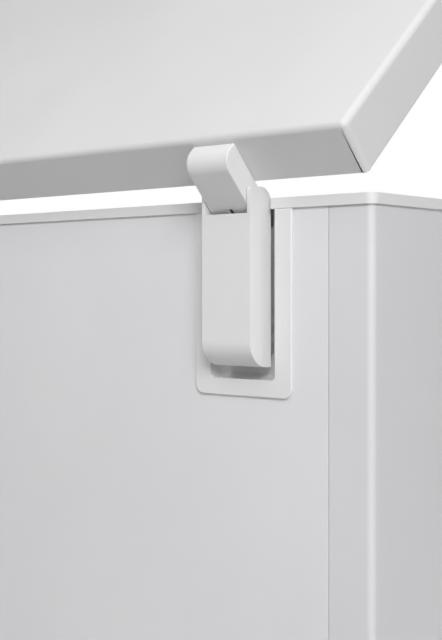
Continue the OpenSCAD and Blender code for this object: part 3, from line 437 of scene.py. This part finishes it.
def start_block(name, low, high):
    """Block between its low and its high corner."""
    nothing_selected()
    low, high = Vector(low), Vector(high)
    bpy.ops.mesh.primitive_cube_add(size=1.0, location=(low + high) / 2)
    piece = bpy.context.object
    piece.scale = high - low
    return settle_place(piece, name)


def start_rod(name, first, last, radius, sides=48):
    """Round rod from its first to its last centre."""
    nothing_selected()
    first, last = Vector(first), Vector(last)
    along = last - first
    bpy.ops.mesh.primitive_cylinder_add(
        vertices=sides, radius=radius, depth=along.length, location=(first + last) / 2,
        rotation=along.to_track_quat("Z", "Y").to_euler(),
    )
    return settle_place(bpy.context.object, name)


def choose_faces(piece, wanted):
    """Select the faces whose centre and normal are wanted, in edit mode."""
    nothing_selected()
    bpy.context.view_layer.objects.active = piece
    piece.select_set(True)
    bpy.ops.object.mode_set(mode="EDIT")
    bpy.ops.mesh.select_mode(type="FACE")
    bpy.ops.mesh.select_all(action="DESELECT")
    shape = bmesh.from_edit_mesh(piece.data)
    for face in shape.faces:
        face.select_set(bool(wanted(face.calc_center_median(), face.normal)))
    shape.select_flush_mode()
    bmesh.update_edit_mesh(piece.data)


def choose_edges(piece, wanted):
    """Select the edges whose middle and direction are wanted, in edit mode."""
    nothing_selected()
    bpy.context.view_layer.objects.active = piece
    piece.select_set(True)
    bpy.ops.object.mode_set(mode="EDIT")
    bpy.ops.mesh.select_mode(type="EDGE")
    bpy.ops.mesh.select_all(action="DESELECT")
    shape = bmesh.from_edit_mesh(piece.data)
    for edge in shape.edges:
        first, last = edge.verts[0].co, edge.verts[1].co
        edge.select_set(bool(wanted((first + last) / 2, (last - first).normalized())))
    bmesh.update_edit_mesh(piece.data)


def bevel_edges(piece, wanted, radius, segments):
    choose_edges(piece, wanted)
    bpy.ops.mesh.bevel(offset=radius, segments=segments, affect="EDGES")
    bpy.ops.object.mode_set(mode="OBJECT")


def near(first, second, slack=0.00005):
    return abs(first - second) < slack


def apply_last(piece):
    nothing_selected()
    bpy.context.view_layer.objects.active = piece
    piece.select_set(True)
    bpy.ops.object.modifier_apply(modifier=piece.modifiers[-1].name)


def combine(piece, other, operation="DIFFERENCE"):
    """Cut another shape out of a piece, or join it on, and take the other shape away."""
    cut = piece.modifiers.new("Cut", "BOOLEAN")
    cut.operation = operation
    cut.solver = "EXACT"
    cut.object = other
    apply_last(piece)
    bpy.data.objects.remove(other, do_unlink=True)


def round_edges(piece, radius, segments=3, limit=32.0):
    soft = piece.modifiers.new("Soft edges", "BEVEL")
    soft.width = radius
    soft.segments = segments
    soft.limit_method = "ANGLE"
    soft.angle_limit = math.radians(limit)
    soft.use_clamp_overlap = True
    apply_last(piece)


def join_flat_faces(piece):
    """Melt the faces of one plane back into a single face."""
    nothing_selected()
    bpy.context.view_layer.objects.active = piece
    bpy.ops.object.mode_set(mode="EDIT")
    bpy.ops.mesh.select_all(action="SELECT")
    bpy.ops.mesh.dissolve_limited(angle_limit=math.radians(0.2))
    bpy.ops.object.mode_set(mode="OBJECT")


def smooth_skin(piece, limit=38.0):
    """Smooth round parts, and keep broad faces flat to the light."""
    nothing_selected()
    bpy.context.view_layer.objects.active = piece
    piece.select_set(True)
    bpy.ops.object.shade_smooth_by_angle(angle=math.radians(limit))
    flat = piece.modifiers.new("Flat faces", "WEIGHTED_NORMAL")
    flat.weight = 90
    flat.keep_sharp = True
    apply_last(piece)


def fit_piece(piece, body, slot, finish, *stands_for):
    piece.data.materials.clear()
    piece.data.materials.append(finish)
    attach(piece, body)
    if stands_for:
        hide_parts(*stands_for)
    return piece


def join_pieces(first, *others):
    nothing_selected()
    for piece in (first, *others):
        piece.select_set(True)
    bpy.context.view_layer.objects.active = first
    bpy.ops.object.join()
    return first


def tilt_with_lid(piece):
    """Take a piece made with the lid closed to where the lid stands."""
    nothing_selected()
    bpy.context.view_layer.objects.active = piece
    piece.select_set(True)
    piece.matrix_world = open_lid()
    bpy.ops.object.transform_apply(location=True, rotation=True, scale=True)
    return piece


def closed_box(name):
    """Lowest and highest corner of a lid node, with the lid closed."""
    back = open_lid().inverted()
    points = [back @ v.co for v in nodes[name].data.vertices]
    low = Vector(min(p[i] for p in points) for i in range(3))
    high = Vector(max(p[i] for p in points) for i in range(3))
    return low, high


# ------------------------------------------------------------ hinges

HOUSING_WALL = 3.5 * MM
HOUSING_CURVE = 22.0 * MM
CHEEK_CURVE = 13.2 * MM
CHEEK_LIP = 4.0 * MM
HOUSING_FRONT_TOP = 13.4 * MM
HOUSING_SOFT = 1.5 * MM
COVER_WALL = 2.0 * MM
COVER_CURVE = 15.0 * MM
COVER_SOFT = 1.3 * MM
SLOT_W = 4.0 * MM
SLOT_UP = 7.0 * MM
SLOT_ASIDE = 0.5 * MM
BEZEL_CORNER = 9.0 * MM
BEZEL_FRONT_CURVE = 1.4 * MM
BEZEL_BACK_CURVE = 0.8 * MM
BEZEL_SOFT = 0.9 * MM
POCKET_WALL = 1.5 * MM
POCKET_CORNER = 5.0 * MM
RECESS_HALF = 36.8 * MM
RECESS_DROP = 156.9 * MM
RECESS_CORNER = 4.5 * MM
RECESS_FILLET = 5.0 * MM
OVER = 6.0 * MM                          # how far a cutting shape runs past the piece


def make_housing(side):
    """White cover over the fixed half of a hinge, open at its back and top."""
    node = f"hinge_housing_{side}"
    low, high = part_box(node)
    piece = start_block(node + "_cover", low, high)
    across = lambda d: abs(d.x) > 0.9
    bevel_edges(piece, lambda c, d: across(d) and near(c.y, high.y) and near(c.z, low.z), HOUSING_CURVE, 16)
    bevel_edges(piece, lambda c, d: across(d) and near(c.y, low.y) and near(c.z, high.z), CHEEK_CURVE, 12)
    bevel_edges(piece, lambda c, d: across(d) and near(c.y, high.y) and near(c.z, high.z), CHEEK_LIP, 6)
    inner_low = Vector((low.x + HOUSING_WALL, low.y - OVER, low.z + HOUSING_WALL))
    inner_high = Vector((high.x - HOUSING_WALL, high.y - HOUSING_WALL, high.z + OVER))
    hollow = start_block("hollow", inner_low, inner_high)
    bevel_edges(
        hollow, lambda c, d: across(d) and near(c.y, inner_high.y) and near(c.z, inner_low.z),
        HOUSING_CURVE - HOUSING_WALL, 16,
    )
    combine(piece, hollow)
    gate = start_block(
        "gate",
        (inner_low.x, high.y - HOUSING_WALL - 2 * MM, rim_z - HOUSING_FRONT_TOP),
        (inner_high.x, high.y + OVER, high.z + OVER),
    )
    combine(piece, gate)
    round_edges(piece, HOUSING_SOFT, 4)
    smooth_skin(piece)
    fit_piece(piece, "cabinet", "white_plastic", hinge_plastic, node)


def make_arm_cover(side):
    """White cap over the lid's arm, with a round top edge and a slot to lever it off."""
    node = f"arm_cover_{side}"
    low, high = closed_box(node)
    piece = start_block(node + "_cap", low, high)
    across = lambda d: abs(d.x) > 0.9
    bevel_edges(piece, lambda c, d: across(d) and near(c.y, high.y) and near(c.z, high.z), COVER_CURVE, 14)
    inner_low = Vector((low.x + COVER_WALL, low.y - OVER, low.z - OVER))
    inner_high = Vector((high.x - COVER_WALL, high.y - COVER_WALL, high.z - COVER_WALL))
    hollow = start_block("hollow", inner_low, inner_high)
    bevel_edges(
        hollow, lambda c, d: across(d) and near(c.y, inner_high.y) and near(c.z, inner_high.z),
        COVER_CURVE - COVER_WALL, 14,
    )
    combine(piece, hollow)
    middle = (low + high) / 2
    slot_x = middle.x - SLOT_ASIDE
    slot = start_block(
        "slot",
        (slot_x - SLOT_W / 2, high.y - 2 * COVER_WALL, low.z - OVER),
        (slot_x + SLOT_W / 2, high.y + OVER, low.z + SLOT_UP),
    )
    combine(piece, slot)
    round_edges(piece, COVER_SOFT, 3)
    smooth_skin(piece)
    tilt_with_lid(piece)
    fit_piece(piece, "lid", "white_plastic", hinge_plastic, node)


def make_bezel(side):
    """Frame and pocket that a hinge sits in."""
    node = f"hinge_bezel_{side}"
    low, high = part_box(node)
    housing_low, housing_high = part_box(f"hinge_housing_{side}")
    middle = (housing_low.x + housing_high.x) / 2
    half = (high.x - low.x) / 2
    upright = lambda d: abs(d.y) > 0.9
    foot = lambda shape_low: (lambda c, d: upright(d) and near(c.z, shape_low))
    piece = start_block(node + "_frame", (middle - half, rear_y, low.z), (middle + half, high.y, high.z))
    bevel_edges(piece, foot(low.z), BEZEL_CORNER, 9)
    outer = lambda face_y: (lambda c, d: near(c.y, face_y) and c.z < high.z - 0.1 * MM)
    bevel_edges(piece, outer(high.y), BEZEL_FRONT_CURVE, 4)
    bevel_edges(piece, outer(rear_y), BEZEL_BACK_CURVE, 2)
    recess_foot = rim_z - RECESS_DROP
    pocket_half = RECESS_HALF + POCKET_WALL
    pocket = start_block(
        "pocket",
        (middle - pocket_half, low.y, recess_foot - POCKET_WALL),
        (middle + pocket_half, rear_y + 0.5 * MM, high.z),
    )
    bevel_edges(pocket, foot(recess_foot - POCKET_WALL), POCKET_CORNER, 6)
    combine(piece, pocket, "UNION")
    recess = start_block(
        "recess",
        (middle - RECESS_HALF, low.y + POCKET_WALL, recess_foot),
        (middle + RECESS_HALF, high.y + OVER, high.z + OVER),
    )
    bevel_edges(recess, foot(recess_foot), RECESS_CORNER, 6)
    bevel_edges(
        recess, lambda c, d: near(c.y, low.y + POCKET_WALL) and c.z < high.z, RECESS_FILLET, 6
    )
    combine(piece, recess)
    round_edges(piece, BEZEL_SOFT, 3, 50.0)
    smooth_skin(piece)
    fit_piece(piece, "cabinet", "white_plastic", hinge_plastic, node)


for side in SIDES:
    make_housing(side)
    make_arm_cover(side)
    make_bezel(side)

# ------------------------------------------------------------ lid

LID_EDGE = 6.0 * MM
LID_CORNER = 6.3 * MM                    # no smaller than LID_EDGE, or the top folds at its corners
HEM = 10.0 * MM
HEM_RISE = 3.0 * MM
HEM_CURVE = 1.6 * MM
SEAM_IN = 5.5 * MM
SEAM_W = 0.7 * MM


def make_lid_skin():
    """Steel lid with round edges and a folded hem underneath."""
    low, high = closed_box("lid_shell")
    piece = start_block("lid_skin", low, high)
    choose_faces(piece, lambda c, n: n.z < -0.9)
    bpy.ops.mesh.inset(thickness=HEM, depth=0.0)
    bpy.ops.mesh.extrude_region_move(TRANSFORM_OT_translate={"value": (0.0, 0.0, HEM_RISE)})
    bpy.ops.object.mode_set(mode="OBJECT")
    outline = lambda c: near(c.x, low.x) or near(c.x, high.x) or near(c.y, low.y) or near(c.y, high.y)
    bevel_edges(piece, lambda c, d: abs(d.z) > 0.9 and outline(c), LID_CORNER, 5)
    bevel_edges(piece, lambda c, d: near(c.z, high.z), LID_EDGE, 7)
    bevel_edges(piece, lambda c, d: near(c.z, low.z) and outline(c), HEM_CURVE, 4)
    # folded seams where the end skins lap the rear skin
    for x in (low.x + SEAM_IN, high.x - SEAM_IN):
        seam = start_block(
            "seam",
            (x - SEAM_W / 2, high.y - SEAM_W, low.z + HEM_CURVE),
            (x + SEAM_W / 2, high.y + OVER, high.z - LID_EDGE),
        )
        combine(piece, seam)
    join_flat_faces(piece)
    round_edges(piece, 0.25 * MM, 2, 50.0)
    join_flat_faces(piece)
    smooth_skin(piece)
    tilt_with_lid(piece)
    fit_piece(piece, "lid", "lid_paint", lid_enamel, "lid_shell")


def make_lid_liner():
    """Moulded underside of the lid: a plate, a shallow plug and a pressed panel."""
    low, high = closed_box("lid_liner")
    plate_t = 2.0 * MM
    piece = start_block("lid_inner_panel", (low.x, low.y, high.z - plate_t), high)
    storage_low, storage_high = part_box("inner_liner")
    gap = 16.8 * MM
    plug_low = Vector((storage_low.x + gap, storage_low.y + gap, low.z))
    plug_high = Vector((storage_high.x - gap, storage_high.y - gap, high.z - 0.5 * MM))
    plug = start_block("plug", plug_low, plug_high)
    bevel_edges(plug, lambda c, d: abs(d.z) > 0.9, 20.0 * MM, 8)
    bevel_edges(plug, lambda c, d: near(c.z, plug_low.z), 3.5 * MM, 4)
    rim, ridge = 34.0 * MM, 16.0 * MM
    field_top = plug_low.z + 1.6 * MM
    field = start_block(
        "field",
        (plug_low.x + rim, plug_low.y + rim, plug_low.z - OVER),
        (plug_high.x - rim, plug_high.y - rim, field_top),
    )
    bevel_edges(field, lambda c, d: abs(d.z) > 0.9, 14.0 * MM, 7)
    combine(plug, field)
    inset = rim + ridge
    pad = start_block(
        "pad",
        (plug_low.x + inset, plug_low.y + inset, plug_low.z),
        (plug_high.x - inset, plug_high.y - inset, field_top + 0.5 * MM),
    )
    bevel_edges(pad, lambda c, d: abs(d.z) > 0.9, 9.0 * MM, 6)
    combine(plug, pad, "UNION")
    combine(piece, plug, "UNION")
    round_edges(piece, 0.8 * MM, 2, 45.0)
    smooth_skin(piece)
    tilt_with_lid(piece)
    fit_piece(piece, "lid", "white_plastic", rim_plastic, "lid_liner")


def make_gasket():
    """Magnetic seal: a magnet tube, a folded neck and a flat back."""
    low, high = closed_box("lid_gasket")
    piece = start_block("lid_seal", low, high)
    bevel_edges(piece, lambda c, d: abs(d.z) > 0.9, 16.0 * MM, 7)
    wide = 12.0 * MM
    hole = start_block(
        "hole", (low.x + wide, low.y + wide, low.z - OVER), (high.x - wide, high.y - wide, high.z + OVER)
    )
    bevel_edges(hole, lambda c, d: abs(d.z) > 0.9, 4.0 * MM, 7)
    combine(piece, hole)
    neck_low, neck_high = low.z + 4.2 * MM, low.z + 5.8 * MM
    for level in (neck_low, neck_high):
        choose_faces(piece, lambda c, n: True)
        bpy.ops.mesh.bisect(plane_co=(0.0, 0.0, level), plane_no=(0.0, 0.0, 1.0))
        bpy.ops.object.mode_set(mode="OBJECT")
    choose_faces(piece, lambda c, n: abs(n.z) < 0.3 and neck_low < c.z < neck_high)
    bpy.ops.mesh.extrude_region_shrink_fatten(TRANSFORM_OT_shrink_fatten={"value": -2.6 * MM})
    bpy.ops.object.mode_set(mode="OBJECT")
    round_edges(piece, 0.5 * MM, 2, 45.0)
    smooth_skin(piece)
    tilt_with_lid(piece)
    fit_piece(piece, "lid", "gasket_grey", gasket_vinyl, "lid_gasket")


def make_handle():
    """Grip along the lid's front edge, with a round lip for the fingers."""
    low, high = closed_box("lid_handle")
    root = high.y
    foot = low.z - 1.0 * MM

    def bar(name, out_low, out_high, up_low, up_high):
        return start_block(
            name,
            (low.x, root - out_high * MM, foot + up_low * MM),
            (high.x, root - out_low * MM, foot + up_high * MM),
        )

    piece = bar("lid_grip", 0.0, 9.0, 1.0, 43.0)
    hood_top = 41.0
    hood = bar("hood", 0.0, 27.0, 31.0, hood_top)
    hood_nose = lambda c, d: abs(d.x) > 0.9 and near(c.y, low.y) and near(c.z, foot + hood_top * MM)
    bevel_edges(hood, hood_nose, 9.5 * MM, 9)
    combine(piece, hood, "UNION")
    lip_foot = 23.0
    lip = bar("lip", 21.0, 27.0, lip_foot, 33.0)
    bevel_edges(lip, lambda c, d: abs(d.x) > 0.9 and near(c.z, foot + lip_foot * MM), 2.9 * MM, 5)
    combine(piece, lip, "UNION")
    lock_z = foot + 13.0 * MM
    bore = start_rod("bore", (0.0, root - 12.0 * MM, lock_z), (0.0, root + OVER, lock_z), 8.1 * MM, 40)
    combine(piece, bore)
    pocket = start_block(
        "pocket",
        (-8.0 * MM, root - 6.4 * MM, foot - OVER),
        (33.0 * MM, root - 2.4 * MM, foot + 18.0 * MM),
    )
    combine(piece, pocket)
    round_edges(piece, 1.2 * MM, 3, 35.0)
    smooth_skin(piece)
    tilt_with_lid(piece)
    fit_piece(piece, "lid", "grey_plastic", grey_plastic, "lid_handle")


make_lid_skin()
make_lid_liner()
make_gasket()
make_handle()

# ------------------------------------------------------------ controls


def make_knob():
    """Thermostat knob: round skirt, fluted grip and a raised pointer."""
    low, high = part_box("thermostat_knob")
    middle = (low + high) / 2
    front = low.y
    skirt_r = (high.x - low.x) / 2
    grip_r = skirt_r - 3.0 * MM

    def disc(name, out_near, out_far, radius, sides):
        return start_rod(
            name,
            (middle.x, front + out_near * MM, middle.z),
            (middle.x, front + out_far * MM, middle.z),
            radius,
            sides,
        )

    piece = disc("dial_knob", 2.0, 9.0, grip_r, 96)
    shape_side = lambda c, n: abs(n.y) < 0.1 and int(math.degrees(math.atan2(n.z, n.x)) // 3.75) % 4 == 0
    choose_faces(piece, shape_side)
    bpy.ops.mesh.extrude_region_shrink_fatten(TRANSFORM_OT_shrink_fatten={"value": -0.7 * MM})
    bpy.ops.object.mode_set(mode="OBJECT")
    skirt = disc("skirt", 8.0, 14.5, skirt_r, 96)
    bevel_edges(skirt, lambda c, d: abs(d.y) < 0.1 and c.y < front + 9 * MM, 1.5 * MM, 4)
    combine(piece, skirt, "UNION")
    shaft = disc("shaft", 13.0, (high.y - front) / MM, 4.0 * MM, 32)
    combine(piece, shaft, "UNION")
    pointer = start_block(
        "pointer", (middle.x - 1.5 * MM, front, middle.z + 2.0 * MM),
        (middle.x + 1.5 * MM, front + 3.0 * MM, middle.z + grip_r - 2.2 * MM),
    )
    combine(piece, pointer, "UNION")
    smooth_skin(piece, 30.0)
    fit_piece(piece, "knob", "black_plastic", black_plastic, "thermostat_knob")


# ------------------------------------------------------------ screws, feet and compressor


def make_cover_screws():
    """Pan-head screws with a cross recess, one made and the rest copied."""
    low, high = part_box("cover_screws")
    head_r = 3.6 * MM
    first = Vector((low.x + head_r, high.y, low.z + head_r))
    top = first.y
    piece = start_rod("cover_screw_1", (first.x, top - 2.0 * MM, first.z), first, head_r, 32)
    choose_edges(piece, lambda c, d: near(c.y, top) and abs(d.y) < 0.1)
    bpy.ops.mesh.bevel(offset=1.1 * MM, segments=4, affect="EDGES")
    bpy.ops.object.mode_set(mode="OBJECT")
    shank = start_rod("shank", (first.x, low.y, first.z), (first.x, top - 1.5 * MM, first.z), 1.8 * MM, 20)
    combine(piece, shank, "UNION")
    for half_x, half_z in ((2.0, 0.45), (0.45, 2.0)):
        cross = start_block(
            "cross", (first.x - half_x * MM, top - 1.2 * MM, first.z - half_z * MM),
            (first.x + half_x * MM, top + OVER, first.z + half_z * MM),
        )
        combine(piece, cross)
    smooth_skin(piece, 40.0)
    reach = Vector((high.x - low.x - 2 * head_r, 0.0, high.z - low.z - 2 * head_r))
    count = 1
    for across in (0.0, 1.0):
        for up in (0.0, 0.5, 1.0):
            if across == 0.0 and up == 0.0:
                continue
            count += 1
            copy = piece.copy()
            copy.data = piece.data.copy()
            copy.name = f"cover_screw_{count}"
            bpy.context.scene.collection.objects.link(copy)
            copy.data.transform(Matrix.Translation((reach.x * across, 0.0, reach.z * up)))
            fit_piece(copy, "cabinet", "zinc_steel", zinc_finish)
    fit_piece(piece, "cabinet", "zinc_steel", zinc_finish, "cover_screws")


def make_foot(side):
    """Levelling foot: ribbed pad, hexagon nut and threaded stud."""
    node = f"front_foot_{side}"
    low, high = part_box(node)
    middle = (low + high) / 2
    radius = (high.x - low.x) / 2
    at = lambda up: (middle.x, middle.y, low.z + up * MM)
    piece = start_rod(node + "_pad", at(0.0), at(10.0), radius, 72)
    choose_faces(piece, lambda c, n: abs(n.z) < 0.1 and int(math.degrees(math.atan2(n.y, n.x)) // 5) % 3 == 0)
    bpy.ops.mesh.extrude_region_shrink_fatten(TRANSFORM_OT_shrink_fatten={"value": -0.8 * MM})
    bpy.ops.object.mode_set(mode="OBJECT")
    choose_faces(piece, lambda c, n: n.z > 0.9 and c.z > low.z + 9 * MM)
    bpy.ops.mesh.inset(thickness=3.0 * MM, depth=0.0)
    bpy.ops.mesh.extrude_region_move(TRANSFORM_OT_translate={"value": (0.0, 0.0, 2.5 * MM)})
    bpy.ops.transform.resize(value=(0.72, 0.72, 1.0), center_override=at(12.5))
    bpy.ops.object.mode_set(mode="OBJECT")
    nut = start_rod("nut", at(23.8), at(29.8), 9.0 * MM, 6)
    combine(piece, nut, "UNION")
    stud = start_rod("stud", at(9.0), at((high.z - low.z) / MM), 4.2 * MM, 24)
    combine(piece, stud, "UNION")
    round_edges(piece, 0.4 * MM, 2, 45.0)
    threads = []
    for turn in range(9):
        up = 14.5 + turn
        ring = start_rod("thread", at(up), at(up + 0.7), 4.9 * MM, 24)
        bevel_edges(ring, lambda c, d: abs(d.z) < 0.1, 0.3 * MM, 1)
        threads.append(ring)
    join_pieces(piece, *threads)
    smooth_skin(piece, 35.0)
    fit_piece(piece, f"foot_{side}", "black_plastic", black_plastic, node)


def make_compressor():
    """Domed casing with a welded seam, on a pressed foot plate."""
    low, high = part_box("compressor")
    middle = (low + high) / 2
    plate_t = 3.0 * MM
    piece = start_block("compressor_casing", low, (high.x, high.y, low.z + plate_t))
    bevel_edges(piece, lambda c, d: abs(d.z) > 0.9, 10.0 * MM, 6)
    shell_r = 58.0 * MM
    floor = low.z + plate_t - 0.5 * MM
    shell = start_rod("shell", (middle.x, middle.y, floor), (middle.x, middle.y, high.z), shell_r, 64)
    bevel_edges(shell, lambda c, d: near(c.z, high.z), 26.0 * MM, 9)
    seam_z = low.z + 48.0 * MM
    at = lambda z: (middle.x, middle.y, z)
    seam = start_rod("seam", at(seam_z), at(seam_z + 4 * MM), shell_r + 2.0 * MM, 64)
    bevel_edges(seam, lambda c, d: abs(d.z) < 0.1, 1.4 * MM, 3)
    skirt = start_rod("skirt", at(floor), at(floor + 4.5 * MM), shell_r + 3.0 * MM, 64)
    for part in (shell, seam, skirt):
        combine(piece, part, "UNION")
    hole_x, hole_y = 62.0 * MM, 42.0 * MM
    for dx in (-hole_x, hole_x):
        for dy in (-hole_y, hole_y):
            place = Vector((middle.x + dx, middle.y + dy, low.z))
            hole = start_rod("hole", place - Vector((0, 0, OVER)), place + Vector((0, 0, OVER)), 4.1 * MM, 24)
            combine(piece, hole)
    smooth_skin(piece, 32.0)
    fit_piece(piece, "cabinet", "black_enamel", black_shell, "compressor")


make_knob()
make_cover_screws()
for side in SIDES:
    make_foot(side)
make_compressor()

# ------------------------------------------------------------ floor, light and camera


def make_floor():
    bpy.ops.object.select_all(action="DESELECT")
    bpy.ops.mesh.primitive_plane_add(size=14.0, location=(0.0, 0.0, 0.0))
    floor = bpy.context.object
    floor.name = "Floor"
    mat, tree, shader = start_material("Pale floor", 0.6)
    tone = place_group(tree, grain, Fine=90.0, Broad=1.5)
    base = mix_colour(tree, tone.outputs["Tone"], (0.50, 0.50, 0.50), (0.53, 0.53, 0.53))
    tree.links.new(base, shader.inputs["Base Color"])
    floor.data.materials.append(mat)


def add_softbox(name, place, target, size, power):
    lamp = bpy.data.lights.new(name, "AREA")
    lamp.shape = "RECTANGLE"
    lamp.size, lamp.size_y = size
    lamp.energy = power
    holder = bpy.data.objects.new(name, lamp)
    holder.location = place
    holder.rotation_euler = (Vector(target) - Vector(place)).to_track_quat("-Z", "Y").to_euler()
    bpy.context.scene.collection.objects.link(holder)


def make_studio():
    world = bpy.data.worlds.new("Studio")
    bpy.context.scene.world = world
    world.use_nodes = True
    tree = world.node_tree
    sky = tree.nodes["Background"]
    sky.inputs["Color"].default_value = (1.0, 1.0, 1.0, 1.0)
    ray = tree.nodes.new("ShaderNodeLightPath")
    tree.links.new(spread(tree, ray.outputs["Is Camera Ray"], 0.0, 1.0, 0.15, 1.0), sky.inputs["Strength"])
    add_softbox("Camera side", (-2.7, 2.5, 2.5), (-0.2, 0.2, 0.7), (1.6, 1.6), 97.0)
    add_softbox("Rear high", (0.0, 2.4, 3.4), (0.0, 0.2, 0.7), (1.8, 1.8), 26.0)
    add_softbox("Ceiling", (0.0, 0.0, 5.5), (0.0, 0.0, 0.0), (8.0, 8.0), 90.0)
    add_softbox("Side", (-3.6, -0.6, 1.6), (0.0, 0.0, 0.7), (2.0, 2.0), 7.0)
    add_softbox("Front", (1.6, -3.4, 2.4), (0.0, 0.0, 0.6), (2.4, 1.8), 120.0)


def make_camera():
    lens = bpy.data.cameras.new("Camera")
    lens.sensor_width = 36.0
    lens.lens = 68.996
    lens.shift_x = -0.0126
    lens.shift_y = -0.0442
    lens.clip_start = 0.02
    camera = bpy.data.objects.new("Camera", lens)
    camera.location = (-1.0098, rear_y + 0.8229, 0.7046)
    camera.rotation_euler = Vector((0.653, -0.757, 0.0)).to_track_quat("-Z", "Y").to_euler()
    bpy.context.scene.collection.objects.link(camera)
    bpy.context.scene.camera = camera
    bpy.context.scene.view_settings.view_transform = "Standard"


make_camera()
make_floor()
make_studio()
